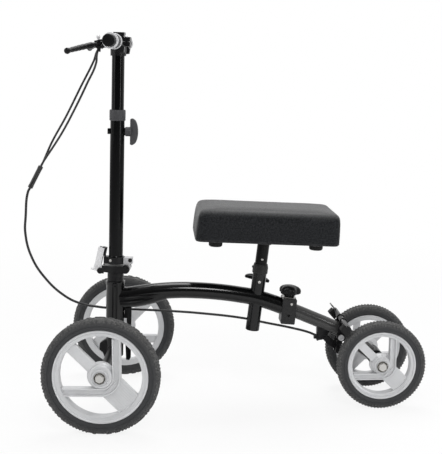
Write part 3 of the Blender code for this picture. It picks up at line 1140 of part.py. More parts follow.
def make_pad():
    """The knee pad: a crowned top, sides drawn in at half height and a front end that leans back."""
    bm = bmesh.new()
    bmesh.ops.create_cube(bm, size=2)
    for axis, steps in enumerate((PAD_STEPS_ALONG, PAD_STEPS_ACROSS, PAD_STEPS_UP)):
        for step in steps:
            place = [0, 0, 0]
            place[axis] = step
            normal = [0, 0, 0]
            normal[axis] = 1
            bmesh.ops.bisect_plane(bm, geom=bm.verts[:] + bm.edges[:] + bm.faces[:], plane_co=place, plane_no=normal)
    for corner in bm.verts:
        spread = corner.co
        corner.co = pad_point(spread[0], spread[1], (spread[2] + 1) / 2)
    mesh = mesh_from(bm, "knee_pad")
    mesh.shade_smooth()
    pad = add("knee_pad", mesh, HEATHER_CLOTH, seat_top)
    rounding = pad.modifiers.new("rounding", "SUBSURF")
    rounding.levels = 1
    rounding.render_levels = 1


def make_knobs():
    column_axis = empty("column_knob_axis", column, (0, 0, up(COLUMN_KNOB_HEIGHT)), (0, math.pi / 2, 0))
    make_wing_knob("column_knob", column_axis, COLUMN_TUBE_RADIUS, HANDLE_TUBE_RADIUS)
    seat_axis = empty("seat_knob_axis", seat_line, (0, 0, SEAT_KNOB_ALONG), (-math.pi / 2, SEAT_KNOB_TURN, 0))
    make_wing_knob("seat_knob", seat_axis, RECEIVER_RADIUS, SEAT_POST_RADIUS)


make_wheels()
make_head_tube()
make_neck_collar()
make_steerer()
make_fold_pin()
make_front_axle()
make_stop_strut()
make_fold_block()
make_fold_lug()
make_quick_release()
make_column_tube()
make_column_collar()
make_handle_tube()
make_bar_clamp()
make_handlebar()
make_grip(NEAR)
make_grip(FAR)
make_brake(NEAR, NEAR_LEVER_DROOP, NEAR_BOOT_LEAN)
make_brake(FAR, FAR_LEVER_DROOP, FAR_BOOT_LEAN)
make_upper_cables()
make_coupler()
make_lower_cables()
make_main_tube()
make_rear_clamp()
make_star_knob()
make_rear_tube()
make_rear_axle()
make_pivot_bolt()
make_brake_yoke()
make_brake_shoes()
make_brake_link()
make_cable_stop()
make_receiver()
make_seat_collar()
make_seat_post()
make_seat_plate()
make_bumpers()
make_pad()
make_knobs()
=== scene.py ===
"""Knee walker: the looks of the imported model, piece by piece in the order that it is put together."""

import math
from collections import Counter

import bpy
from mathutils import Matrix, Vector


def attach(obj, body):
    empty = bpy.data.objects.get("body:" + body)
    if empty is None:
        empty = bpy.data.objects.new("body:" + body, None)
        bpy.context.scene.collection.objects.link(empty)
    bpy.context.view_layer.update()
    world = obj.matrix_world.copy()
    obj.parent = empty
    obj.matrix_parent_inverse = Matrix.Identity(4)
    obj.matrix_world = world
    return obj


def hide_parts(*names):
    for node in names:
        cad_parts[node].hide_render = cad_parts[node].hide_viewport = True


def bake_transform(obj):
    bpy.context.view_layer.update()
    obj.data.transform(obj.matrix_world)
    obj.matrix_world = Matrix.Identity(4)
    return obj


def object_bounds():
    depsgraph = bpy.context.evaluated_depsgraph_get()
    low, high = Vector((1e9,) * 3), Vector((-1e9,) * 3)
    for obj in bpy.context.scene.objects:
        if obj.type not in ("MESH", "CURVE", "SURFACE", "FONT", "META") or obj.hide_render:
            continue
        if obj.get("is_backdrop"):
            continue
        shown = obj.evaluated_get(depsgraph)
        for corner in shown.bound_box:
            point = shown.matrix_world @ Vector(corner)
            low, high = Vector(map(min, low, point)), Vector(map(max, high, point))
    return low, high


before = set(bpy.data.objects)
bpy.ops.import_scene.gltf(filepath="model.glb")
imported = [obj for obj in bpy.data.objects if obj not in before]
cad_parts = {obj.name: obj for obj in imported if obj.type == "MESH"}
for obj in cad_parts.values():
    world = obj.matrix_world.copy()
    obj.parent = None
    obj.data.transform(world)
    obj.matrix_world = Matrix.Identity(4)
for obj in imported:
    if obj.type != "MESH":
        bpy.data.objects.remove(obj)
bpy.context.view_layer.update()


# Studio. A pale floor and a white backdrop, with a darker room behind the camera. A tall lamp stands on the
# left, a narrow one on the right and a small one in front, and the widest and strongest hangs above. The
# camera stands on the walker's near side, above the pad, and looks down a little.
CAMERA_PLACE = (-0.14435, -2.169, 0.7806)
PITCH = 9.675
YAW = 3.595
ROLL = 0.17
FOCAL_LENGTH = 76.44
LAMP_TARGET = Vector((0, 0, 0.35))
FLOOR_WHITE = 0.86


def shift(x, y, z):
    return Matrix.Translation((x, y, z))


def turn(degrees, axis):
    return Matrix.Rotation(math.radians(degrees), 4, axis)


def feed(tree, socket, value):
    """Gives an input a plain value, or links another node's output to it."""
    if isinstance(value, bpy.types.NodeSocket):
        tree.links.new(value, socket)
    else:
        socket.default_value = value


def shade(tree, kind, inputs=None, out=0, **settings):
    """Adds a shader node with its settings and inputs, and gives one of its outputs."""
    node = tree.nodes.new("ShaderNode" + kind)
    for name, value in settings.items():
        setattr(node, name, value)
    for socket, value in (inputs or {}).items():
        feed(tree, node.inputs[socket], value)
    return node.outputs[out]


def calculate(tree, operation, *values):
    return shade(tree, "Math", dict(enumerate(values)), operation=operation)


def new_material(name, inputs):
    """A material, its node tree and its shader, with some inputs set."""
    material = bpy.data.materials.new(name)
    material.use_nodes = True
    tree = material.node_tree
    shader = tree.nodes["Principled BSDF"]
    for socket, value in inputs.items():
        feed(tree, shader.inputs[socket], value)
    return material, tree, shader


bpy.ops.object.camera_add()
camera = bpy.context.object
camera.matrix_world = shift(*CAMERA_PLACE) @ turn(-YAW, "Z") @ turn(90 - PITCH, "X") @ turn(ROLL, "Z")
camera.data.lens = FOCAL_LENGTH
camera.data.sensor_width = 36
bpy.context.scene.camera = camera
bpy.context.scene.view_settings.view_transform = "Standard"

for name, stand, width, height, power in (("left_softbox", (-2.2, -0.9, 1.4), 0.9, 1.8, 12),
                                          ("front_lamp", (0.3, -2.6, 2.6), 0.7, 0.7, 28),
                                          ("right_strip", (1.8, -1.7, 1.0), 0.18, 1.6, 12),
                                          ("top_lamp", (0.2, 0.9, 3.0), 1.6, 1.6, 44)):
    aim = LAMP_TARGET - Vector(stand)
    bpy.ops.object.light_add(type="AREA", location=stand, rotation=aim.to_track_quat("-Z", "Y").to_euler())
    lamp = bpy.context.object
    lamp.name = name
    lamp.data.shape = "RECTANGLE"
    lamp.data.size = width
    lamp.data.size_y = height
    lamp.data.energy = power

surroundings = bpy.data.worlds.new("white_studio")
surroundings.use_nodes = True
bpy.context.scene.world = surroundings
tree = surroundings.node_tree
depth = shade(tree, "SeparateXYZ", {0: shade(tree, "TexCoord", out="Generated")}, "Y")
backdrop = shade(tree, "MapRange", {"Value": depth, "From Min": -0.75, "From Max": 0.35, "To Min": 0.1,
                                    "To Max": 1.1}, interpolation_type="SMOOTHSTEP")
mirrored = shade(tree, "Mix", {"Factor": shade(tree, "LightPath", out="Is Glossy Ray"), "A": 0.5,
                               "B": backdrop})
seen = shade(tree, "Mix", {"Factor": shade(tree, "LightPath", out="Is Camera Ray"), "A": mirrored, "B": 1.0})
feed(tree, tree.nodes["Background"].inputs["Strength"], seen)
feed(tree, tree.nodes["Background"].inputs["Color"], (1, 1, 1, 1))

bpy.ops.mesh.primitive_plane_add(size=16, location=(0, 0, 0))
floor = bpy.context.object
floor.name = "floor"
floor_paint, tree, shader = new_material("pale_floor", {
    "Base Color": (FLOOR_WHITE, FLOOR_WHITE, FLOOR_WHITE, 1), "Roughness": 0.9, "Specular IOR Level": 0.0})
distance = shade(tree, "VectorMath", {0: shade(tree, "TexCoord", out="Object")}, "Value", operation="LENGTH")
away = shade(tree, "MapRange", {"Value": distance, "From Min": 0.5, "From Max": 2.4, "To Min": 0.86},
             interpolation_type="SMOOTHSTEP")
share = calculate(tree, "MULTIPLY", shade(tree, "LightPath", out="Is Camera Ray"), away)
mix = shade(tree, "MixShader", {"Fac": share, 1: shader.outputs[0], 2: shade(tree, "Emission")})
feed(tree, tree.nodes["Material Output"].inputs["Surface"], mix)
floor.data.materials.append(floor_paint)
floor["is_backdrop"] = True


# Brake cables. Two thin plastic-covered wires hang from the hand levers into a dark joining barrel, and one
# thicker wire swings from it round the head to a clip and along the main tube to the rear brake. They are
# held at both ends.
UPPER_CABLE = 0.0024
LOWER_CABLE = 0.0028
CLIP = (-0.22235, 0.0248, 0.2133)
DUST_COLOUR = (0.2, 0.195, 0.185)
AXIS = 0.00005
SIDES = ((-1, "near"), (1, "far"))


def node_group(name, inputs, outputs):
    """An empty shader group with number sockets: the group, what it is given and what it has to make."""
    group = bpy.data.node_groups.new(name, "ShaderNodeTree")
    for way, sockets in (("INPUT", inputs), ("OUTPUT", outputs)):
        for socket in sockets:
            group.interface.new_socket(socket, in_out=way, socket_type="NodeSocketFloat")
    return group, group.nodes.new("NodeGroupInput").outputs, group.nodes.new("NodeGroupOutput").inputs


def grain_group():
    """Fine grain of moulded plastic, paint or cast metal: a height, and a mask that mottles the colour."""
    group, given, made = node_group("surface_grain", ["Scale"], ["Height", "Mask"])
    where = shade(group, "TexCoord", out="Object")
    fine = shade(group, "TexNoise", {"Vector": where, "Scale": given["Scale"], "Detail": 3})
    cells = shade(group, "TexVoronoi", {"Vector": where, "Scale": given["Scale"]})
    coarse_scale = calculate(group, "MULTIPLY", given["Scale"], 0.06)
    coarse = shade(group, "TexNoise", {"Vector": where, "Scale": coarse_scale, "Detail": 4})
    half = calculate(group, "MULTIPLY", coarse, 0.5)
    feed(group, made["Height"], calculate(group, "MULTIPLY_ADD", cells, 0.4, fine))
    feed(group, made["Mask"], calculate(group, "MULTIPLY_ADD", fine, 0.5, half))
    return group


def dust_and_top_light_group():
    """A mask on faces that look up, in soft patches: settled dust, and on the cloth also a painted lighter
    top.
    """
    group, given, made = node_group("dust_and_top_light", ["Amount", "Scale"], ["Mask"])
    where = shade(group, "TexCoord", out="Object")
    upwards = shade(group, "SeparateXYZ", {0: shade(group, "NewGeometry", out="Normal")}, "Z")
    upper = shade(group, "MapRange", {"Value": upwards, "From Min": 0.2})
    patches = shade(group, "TexNoise", {"Vector": where, "Scale": given["Scale"], "Detail": 6})
    spread = calculate(group, "MULTIPLY", upper, patches)
    feed(group, made["Mask"], calculate(group, "MULTIPLY", spread, given["Amount"]))
    return group


def scratch_group():
    """Faint straight rub marks along one direction, as handling and wiping leave."""
    group, given, made = node_group("rub_marks", ["Scale"], ["Mask"])
    where = shade(group, "TexCoord", out="Object")
    stretched = shade(group, "Mapping", {"Vector": where, "Scale": (1.0, 0.5, 0.06)})
    streaks = shade(group, "TexNoise", {"Vector": stretched, "Scale": given["Scale"], "Detail": 2})
    feed(group, made["Mask"], shade(group, "MapRange", {"Value": streaks, "From Min": 0.6, "From Max": 0.72}))
    return group


GRAIN = grain_group()
DUST_AND_TOP_LIGHT = dust_and_top_light_group()
RUB = scratch_group()


def colour_mix(tree, mask, first, second):
    """Mixes two colours by a mask. Each is a colour, a shade of grey or another node's output."""
    ends = []
    for value in (first, second):
        if isinstance(value, float):
            value = (value, value, value)
        ends.append((*value, 1) if isinstance(value, tuple) else value)
    return shade(tree, "Mix", {"Factor": mask, 6: ends[0], 7: ends[1]}, 2, data_type="RGBA")


def finish(name, dark, light, roughness, metallic=0.0, scale=900, depth=0.12, dust=0.04, rub=0.12,
           specular=0.25):
    """A surface mottled between two colours, with grain, rub marks that dull it and dust on top."""
    material, tree, shader = new_material(name, {"Metallic": metallic, "Specular IOR Level": specular})
    grain = shade(tree, "Group", {"Scale": scale}, "Mask", node_tree=GRAIN)
    dusty = shade(tree, "Group", {"Amount": dust, "Scale": 45}, node_tree=DUST_AND_TOP_LIGHT)
    rubbed = shade(tree, "Group", {"Scale": 260}, node_tree=RUB)
    base = colour_mix(tree, grain, dark, light)
    feed(tree, shader.inputs["Base Color"], colour_mix(tree, dusty, base, DUST_COLOUR))
    spread = shade(tree, "MapRange", {"Value": grain, "To Min": roughness - 0.05, "To Max": roughness + 0.06})
    feed(tree, shader.inputs["Roughness"], calculate(tree, "MULTIPLY_ADD", rubbed, rub, spread))
    bump = shade(tree, "Bump", {"Strength": depth, "Distance": 0.0003,
                                "Height": grain.node.outputs["Height"]})
    feed(tree, shader.inputs["Normal"], bump)
    return material


CABLE_COVER = finish("cable_cover", (0.016, 0.016, 0.017), (0.028, 0.028, 0.029), 0.4, specular=0.3)
COUPLER_PLASTIC = finish("coupler_plastic", 0.012, 0.021, 0.3, depth=0.15, specular=0.5)


def pick(*pieces):
    """Selects only these pieces, with the first one active."""
    bpy.ops.object.select_all(action="DESELECT")
    for piece in pieces:
        piece.select_set(True)
    bpy.context.view_layer.objects.active = pieces[0]


def smooth(piece, angle=35):
    pick(piece)
    bpy.ops.object.shade_smooth_by_angle(angle=math.radians(angle))
    return piece


def join(piece, *others):
    pick(piece, *others)
    bpy.ops.object.join()
    return piece


def place(piece, matrix):
    """Puts a piece that was modelled at the origin where it belongs, with its place in its mesh."""
    pick(piece)
    piece.matrix_world = matrix @ piece.matrix_world
    bpy.ops.object.transform_apply(location=True, rotation=True, scale=True)
    return piece


def copy_of(piece, name):
    pick(piece)
    bpy.ops.object.duplicate()
    bpy.context.object.name = name
    return bpy.context.object


def edit(piece):
    """Goes into edit mode with all of a piece selected."""
    pick(piece)
    bpy.ops.object.mode_set(mode="EDIT")
    bpy.ops.mesh.select_all(action="SELECT")


def weld(piece, gap=0.00002):
    """Merges the points of a piece that meet, and turns its faces outwards."""
    edit(piece)
    bpy.ops.mesh.remove_doubles(threshold=gap)
    bpy.ops.mesh.normals_make_consistent(inside=False)
    bpy.ops.object.mode_set(mode="OBJECT")


def from_curve(name, line):
    """The curve as a mesh piece, with its caps welded on."""
    piece = bpy.data.objects.new(name, line)
    bpy.context.scene.collection.objects.link(piece)
    pick(piece)
    bpy.ops.object.convert(target="MESH")
    piece = bpy.context.object
    weld(piece)
    return piece


def tube(name, points, radius, sides=16, thickness=None):
    """A closed round bar along a smooth line through the points, its radius scaled at each by thickness."""
    line = bpy.data.curves.new(name, "CURVE")
    line.dimensions = "3D"
    line.bevel_depth = radius
    line.bevel_resolution = (sides - 4) // 2
    line.use_fill_caps = True
    line.resolution_u = 10
    spline = line.splines.new("BEZIER")
    spline.bezier_points.add(len(points) - 1)
    for knot, point, share in zip(spline.bezier_points, points, thickness or [1] * len(points)):
        knot.co = point
        knot.radius = share
        knot.handle_left_type = "AUTO"
        knot.handle_right_type = "AUTO"
    return smooth(from_curve(name, line), 50)


def turned(name, profile, sides=64, closed=False):
    """A turned shape from rings of (radius, height) about Z. A ring of radius AXIS closes into a point."""
    bpy.ops.mesh.primitive_circle_add(vertices=sides, radius=profile[0][0], location=(0, 0, profile[0][1]))
    piece = bpy.context.object
    piece.name = name
    bpy.ops.object.transform_apply(location=True)
    bpy.ops.object.mode_set(mode="EDIT")
    bpy.ops.mesh.select_mode(type="EDGE")
    bpy.ops.mesh.select_all(action="SELECT")
    for (radius, height), (wider, higher) in zip(profile, profile[1:] + profile[:1] * closed):
        bpy.ops.mesh.extrude_region_move(TRANSFORM_OT_translate={"value": (0, 0, higher - height)})
        share = wider / radius
        bpy.ops.transform.resize(value=(share, share, 1), center_override=(0, 0, higher))
    bpy.ops.object.mode_set(mode="OBJECT")
    weld(piece, 0.00006)
    return smooth(piece)


def wear(piece, material, body, *nodes, slot=None):
    """Gives a piece its material, hangs it on a body and hides the CAD nodes it stands for. Its slot is not
    used.
    """
    piece.data.materials.clear()
    piece.data.materials.append(material)
    if body:
        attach(piece, body)
    if nodes:
        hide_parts(*nodes)
    return piece


def kept(piece, name, *planes):
    """A copy of a piece without what lies beyond the planes, each a point and the direction beyond it."""
    part = copy_of(piece, name)
    bpy.ops.object.mode_set(mode="EDIT")
    for point, beyond in planes:
        bpy.ops.mesh.select_all(action="SELECT")
        bpy.ops.mesh.bisect(plane_co=point, plane_no=beyond, use_fill=True, clear_outer=True)
    bpy.ops.object.mode_set(mode="OBJECT")
    return part


coupler_top = Vector((-0.41335, 0.013, 0.55))
coupler_bottom = Vector((-0.43935, 0.013, 0.501))
along_coupler = (coupler_top - coupler_bottom).normalized()
near_upper = [(-0.2773, -0.0555, 0.80666), (-0.27948, -0.05562, 0.79692), (-0.28185, -0.05, 0.779),
              (-0.30345, -0.036, 0.7344), (-0.33165, -0.021, 0.6804), (-0.36355, -0.006, 0.6248)]
far_upper = [(-0.27522, 0.0621, 0.81587), (-0.28329, 0.06279, 0.80998), (-0.29415, 0.053, 0.7827),
             (-0.32195, 0.044, 0.7287), (-0.35715, 0.033, 0.6594), (-0.38895, 0.022, 0.6025)]
for (side, name), way in zip(SIDES, (near_upper, far_upper)):
    seat = coupler_top + Vector((0, side * (UPPER_CABLE + 0.0003), 0))
    way += [seat + along_coupler * 0.0065, seat - along_coupler * 0.002]
    cover = tube("brake_cable_cover_" + name, way, UPPER_CABLE)
    wear(cover, CABLE_COVER, "handle", "brake_cable_" + name)

length = (coupler_top - coupler_bottom).length
barrel = turned("joining_barrel", [
    (AXIS, 0), (0.0046, 0), (0.0057, 0.001), (0.0057, 0.007), (0.0054, 0.0076), (0.0054, length - 0.0076),
    (0.0057, length - 0.007), (0.0057, length - 0.001), (0.0046, length), (AXIS, length)], 32)
place(barrel, Matrix.Translation(coupler_bottom) @ along_coupler.to_track_quat("Z", "Y").to_matrix().to_4x4())
wear(barrel, COUPLER_PLASTIC, "handle", "cable_coupler")

# The loop is cut in three stretches, where it hangs and where it turns in.
loop_start = coupler_bottom - along_coupler * 0.0003
hang = Vector((-0.36835, 0.02, 0.2481))
turn_in = Vector((-0.29195, 0.0248, 0.2197))
rise = Vector((-0.76, 0, 0.65))
loop_way = [
    loop_start, loop_start - along_coupler * 0.01, (-0.45115, 0.013, 0.4349), (-0.45315, 0.013, 0.3987),
    (-0.44125, 0.014, 0.3432), (-0.41135, 0.016, 0.2914), hang, (-0.33725, 0.023, 0.2305), turn_in,
    (-0.25235, 0.0248, 0.2155), (-0.22835, 0.0248, 0.2138), CLIP]
loop = tube("brake_cable_loop", loop_way, LOWER_CABLE)
wear(loop, CABLE_COVER, None)
hanging = kept(loop, "cable_loop_hanging", (hang, -rise))
swinging = kept(loop, "cable_loop_swinging", (hang, rise), (turn_in, (1, 0, 0)))
entering = kept(loop, "cable_loop_entering", (turn_in, (-1, 0, 0)))
bpy.data.objects.remove(loop)
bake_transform(hanging)
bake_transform(swinging)
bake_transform(entering)
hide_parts("cable_loop")

run_way = [(-0.22205, 0.0248, 0.2133), (-0.21635, 0.0248, 0.2132), (-0.19735, 0.024, 0.2123),
           (-0.10295, 0.0215, 0.2066), (-0.05755, 0.0208, 0.2026), (0.04945, 0.0205, 0.1885),
           (0.08985, 0.0205, 0.1794), (0.16865, 0.012, 0.164), (0.19965, 0.0004, 0.1579),
           (0.21165, 0.0002, 0.1527), (0.22365, 0.0, 0.1475)]
run = tube("brake_cable_run", run_way, LOWER_CABLE)
wear(run, CABLE_COVER, "frame", "cable_run")


# Wheels. Solid rubber tyres with a knobbly tread sit on moulded silver-grey rims: a dished ring, a hub, a
# grooved bar that bends round the hub, and a narrow plate and a wide ribbed one on either side of it. Each
# wheel turns on a steel bolt in its axle's end, behind a rubber seal.
TREAD_PITCH = 0.0038
TREAD_HEIGHT = 0.0015
FRONT_HUB_HEIGHT = 0.127
REAR_HUB_HEIGHT = 0.1015
REAR_AXLE_X = 0.35405
FRONT_TRACK = 0.4033
REAR_TRACK = 0.1529
STEER = turn(-4.85, "Z")
front_line = shift(-0.25735, 0, FRONT_HUB_HEIGHT) @ STEER
rear_line = shift(REAR_AXLE_X, 0, REAR_HUB_HEIGHT)


def tread_rubber():
    """Tyre rubber: dark walls, and a greyer, speckled tread where the mesh's own tread mask says so."""
    material = finish("tyre_rubber", (0.026, 0.027, 0.029), (0.05, 0.051, 0.053), 0.62, scale=600, depth=0.5,
                      dust=0.1, rub=0.0, specular=0.3)
    tree = material.node_tree
    base = tree.nodes["Principled BSDF"].inputs["Base Color"]
    where = shade(tree, "TexCoord", out="Object")
    specks = shade(tree, "TexNoise", {"Vector": where, "Scale": 420, "Detail": 4})
    bright = shade(tree, "MapRange", {"Value": specks, "From Min": 0.42, "From Max": 0.72, "To Min": 0.1})
    tread = shade(tree, "Attribute", out="Fac", attribute_name="tread")
    on_tread = calculate(tree, "MULTIPLY", bright, tread)
    feed(tree, base, colour_mix(tree, on_tread, base.links[0].from_socket, (0.15, 0.148, 0.144)))
    return material


TYRE = tread_rubber()
RIM = finish("silver_grey_plastic", (0.54, 0.545, 0.555), (0.66, 0.665, 0.675), 0.34, metallic=0.2,
             depth=0.05, dust=0.05)
STEEL = finish("bright_steel", (0.46, 0.45, 0.43), (0.64, 0.63, 0.61), 0.3, metallic=0.55, scale=600,
               depth=0.05, dust=0.03)
SEAL = finish("hub_seal_rubber", (0.05, 0.048, 0.04), (0.11, 0.105, 0.092), 0.55, scale=500, depth=0.4)


def faces_where(piece, test):
    """Goes into edit mode with only the faces selected whose centre and normal pass the test."""
    pick(piece)
    bpy.ops.object.mode_set(mode="EDIT")
    bpy.ops.mesh.select_mode(type="FACE")
    bpy.ops.mesh.select_all(action="DESELECT")
    bpy.ops.object.mode_set(mode="OBJECT")
    for face in piece.data.polygons:
        face.select = test(face.center, face.normal)
    bpy.ops.object.mode_set(mode="EDIT")


def block(name, size, centre, edge=0.0008, lip=0.0, sunk=0.0):
    """A box with rounded edges. With a lip, its upper face is sunk inside a rim of that width."""
    bpy.ops.mesh.primitive_cube_add(size=1, location=centre, scale=size)
    piece = bpy.context.object
    piece.name = name
    bpy.ops.object.transform_apply(location=True, rotation=True, scale=True)
    faces_where(piece, lambda centre, normal: normal.z > 0.9)
    if lip:
        bpy.ops.mesh.inset(thickness=lip, depth=0)
        bpy.ops.transform.translate(value=(0, 0, -sunk))
        bpy.ops.transform.resize(value=(0.97, 0.93, 1))
    bpy.ops.mesh.select_all(action="SELECT")
    bpy.ops.mesh.bevel(offset=edge, segments=2, affect="EDGES")
    bpy.ops.object.mode_set(mode="OBJECT")
    return smooth(piece, 40)


def make_tyre(name, radius, rim_radius, width):
    """The tyre's carcass, with a groove round each wall and alternate rows of tread blocks raised from it."""
    half = width / 2
    segments = 2 * round(math.pi * radius / TREAD_PITCH)
    floor = radius - TREAD_HEIGHT
    bulge = rim_radius + 0.34 * (floor - rim_radius)
    outer_side = [
        (rim_radius + 0.0003, half - 0.0032), (rim_radius + 0.0012, half - 0.0018), (bulge, half - 0.0002),
        (bulge + 0.0006, half - 0.001), (bulge + 0.002, half - 0.001), (bulge + 0.0026, half - 0.0002),
        (floor - 0.007, half - 0.0016), (floor - 0.0012, half - 0.004), (floor, half - 0.0058),
        (floor, 0.0048), (floor, 0.0036)]
    profile = outer_side + [(radius, -height) for radius, height in reversed(outer_side)]
    tyre = turned(name, profile, segments, closed=True)
    step = 2 * math.pi / segments

    def is_tread(centre, normal):
        odd = math.floor(math.atan2(centre.y, centre.x) / step) % 2
        row = abs(centre.z)
        reach = math.hypot(centre.x, centre.y)
        shoulder = reach > floor - 0.0066 and 0.005 < row < half - 0.002
        middle = reach > floor - 0.001 and row < 0.003 and math.hypot(normal.x, normal.y) > 0.95
        return middle if odd else shoulder

    faces_where(tyre, is_tread)
    bpy.ops.mesh.inset(thickness=0.0004, depth=TREAD_HEIGHT - 0.0002)
    bpy.ops.object.mode_set(mode="OBJECT")
    mask = tyre.data.attributes.new("tread", "FLOAT", "POINT")
    for corner, share in zip(tyre.data.vertices, mask.data):
        share.value = min(1, max(0, (math.hypot(corner.co.x, corner.co.y) - floor + 0.0078) / 0.002))
    return smooth(tyre, 30)


def poly_line(name, points, closed=False):
    """A flat curve with straight stretches between its points."""
    line = bpy.data.curves.new(name, "CURVE")
    line.dimensions = "2D"
    spline = line.splines.new("POLY")
    spline.points.add(len(points) - 1)
    for point, (x, y) in zip(spline.points, points):
        point.co = (x, y, 0, 1)
    spline.use_cyclic_u = closed
    return line


def channel(name, way, width, height, rim, sunk):
    """A grooved bar that follows a flat way: its section is a shallow channel, open upwards."""
    half = width / 2
    top = height / 2
    outline = [(-half, -top), (half, -top), (half, top - 0.0008), (half - 0.0008, top), (half - rim, top),
               (half - rim - 0.001, top - sunk), (rim + 0.001 - half, top - sunk), (rim - half, top),
               (0.0008 - half, top), (-half, top - 0.0008)]
    section = bpy.data.objects.new("section", poly_line("section", outline, closed=True))
    bpy.context.scene.collection.objects.link(section)
    line = poly_line(name, way)
    line.bevel_mode = "OBJECT"
    line.bevel_object = section
    line.use_fill_caps = True
    bar = from_curve(name, line)
    bpy.data.objects.remove(section)
    return smooth(bar)


def make_rim(name, rim_radius, band, width):
    """A rim in its own frame, outer face up: ring, hub, the bar round it, the narrow and the ribbed plate."""
    window = rim_radius - band
    scale = window / 0.088
    half = width / 2 - 0.002
    ring = [(window, -half + 0.001), (window, half - 0.008), (window + 0.001, half - 0.0044),
            (window + 0.0036, half - 0.003), (rim_radius - 0.0056, half - 0.0024),
            (rim_radius - 0.0044, half + 0.0002), (rim_radius - 0.0032, half + 0.001),
            (rim_radius - 0.001, half + 0.0008), (rim_radius, half - 0.0004), (rim_radius, -half)]
    rim = turned(name, ring, 128, closed=True)
    hub_radius = 0.0265 * (0.35 + 0.65 * scale)
    hub = turned("hub", [
        (0.0058, -0.02), (0.015, -0.02), (0.016, 0.002 - half), (hub_radius + 0.003, 0.004 - half),
        (hub_radius + 0.003, half - 0.013), (hub_radius + 0.0008, half - 0.0118),
        (hub_radius, half - 0.0112), (hub_radius - 0.0016, half - 0.003), (hub_radius - 0.003, half - 0.0018),
        (0.0196, half - 0.0012), (0.019, half - 0.0018), (0.0176, half - 0.0018), (0.0172, half + 0.001),
        (0.0158, half + 0.003), (0.0152, half + 0.0034), (0.0144, half + 0.0034), (0.0138, half + 0.002),
        (0.0134, half + 0.0038), (0.0058, half + 0.0038)], 96, closed=True)
    reach = window + 0.005
    thick = 2 * half - 0.008
    offset = 0.0345 * scale
    bar_width = 0.018 * (0.3 + 0.7 * scale)
    bar_end = math.sqrt(reach ** 2 - (offset + bar_width / 2) ** 2)
    angles = [math.radians(degrees) for degrees in range(0, 91, 6)]
    bend = [(offset * math.cos(angle), -offset * math.sin(angle)) for angle in angles]
    bar = channel("bar", [(offset, bar_end), *bend, (-bar_end, -offset)], bar_width, thick, 0.003 * scale,
                  0.006)
    place(bar, shift(0, 0, 0.0012))
    narrow_start = 0.022 * scale
    narrow = block("narrow_plate", (reach - narrow_start, 0.0245 * scale, thick * 0.6),
                   ((reach + narrow_start) / 2, 0, -0.0005), lip=0.002, sunk=0.001)
    wide_start = offset - bar_width * 0.22
    wide_middle = -(reach + wide_start) / 2
    wide = block("wide_plate", (reach - wide_start, 0.056 * scale, thick * 0.6), (wide_middle, 0, 0.001),
                 lip=0.0022, sunk=0.0012)
    rib_height = thick * 0.3 - 0.0008
    rib_size = (reach - wide_start - 0.007, 0.0007, 0.0024)
    ribs = [block("rib", rib_size, (wide_middle, (0.005 * step - 0.0225) * scale, rib_height), edge=0.0002)
            for step in range(10)]
    plates = place(join(narrow, wide, *ribs), turn(135, "Z"))
    return join(rim, hub, plates, bar)


def modify(piece, name, kind, **settings):
    """Adds a modifier with its settings."""
    modifier = piece.modifiers.new(name, kind)
    for setting, value in settings.items():
        setattr(modifier, setting, value)


def refine(node, material, edge=0.00035):
    """Keeps a CAD node: its triangles are welded live, its sharp edges rounded, and it gets a finish."""
    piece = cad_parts[node]
    modify(piece, "weld", "WELD", merge_threshold=0.00002)
    modify(piece, "plain", "DECIMATE", decimate_type="DISSOLVE", angle_limit=math.radians(2))
    modify(piece, "rounded", "BEVEL", width=edge, segments=2, limit_method="ANGLE",
           angle_limit=math.radians(38))
    modify(piece, "even", "WEIGHTED_NORMAL", keep_sharp=False)
    piece.data.shade_smooth()
    wear(piece, material, None)


def on_seal_rib(centre, normal):
    """Every other one of the faces on top of a hub seal."""
    return normal.z > 0.3 and round(math.atan2(centre.y, centre.x) / math.pi * 24) % 2


for end, line, carrier, track, radius, rim_radius, band, width in (
        ("front", front_line, "stem", FRONT_TRACK, 0.127, 0.102, 0.014, 0.03),
        ("rear", rear_line, "frame", REAR_TRACK, 0.1015, 0.0785, 0.012, 0.0286)):
    tyre_pattern = make_tyre("tyre_pattern", radius, rim_radius, width)
    rim_pattern = make_rim("rim_pattern", rim_radius, band, width)
    face = width / 2 - 0.002
    seal_profile = [(0.0094, face + 0.0036), (0.0114, face + 0.0036), (0.0122, face + 0.0044),
                    (0.0122, face + 0.0054), (0.0114, face + 0.006), (0.0094, face + 0.006)]
    for side, name in SIDES:
        name = end + "_" + name
        hub_at = line @ shift(0, side * track / 2, 0) @ turn(-90 * side, "X")
        tyre = place(copy_of(tyre_pattern, "tread_tyre_" + name), hub_at)
        wear(tyre, TYRE, "wheel_" + name, "tyre_" + name)
        rim = place(copy_of(rim_pattern, "moulded_rim_" + name), hub_at @ turn(90 + 90 * side, "Z"))
        wear(rim, RIM, "wheel_" + name, "rim_" + name)
        refine("axle_bolt_" + name, STEEL, edge=0.0005)
        seal = turned("hub_seal_" + name, seal_profile, 48, closed=True)
        faces_where(seal, on_seal_rib)
        bpy.ops.mesh.inset(thickness=0.0002, depth=0.0006)
        bpy.ops.object.mode_set(mode="OBJECT")
        wear(place(seal, hub_at), SEAL, carrier)
    bpy.data.objects.remove(tyre_pattern)
    bpy.data.objects.remove(rim_pattern)


# Front axle and steering head. The axle beam, its boss and the steerer are welded steel in satin black
# paint. The head tube is part of the frame, in gloss black, and a plastic collar sits on the steerer
# between it and the fold joint.
def gloss_black(name, specular):
    """Black paint with a wet gloss."""
    return finish(name, (0.0012, 0.0013, 0.0015), (0.0026, 0.0027, 0.003), 0.13, scale=330, depth=0.03,
                  dust=0.01, rub=0.08, specular=specular)


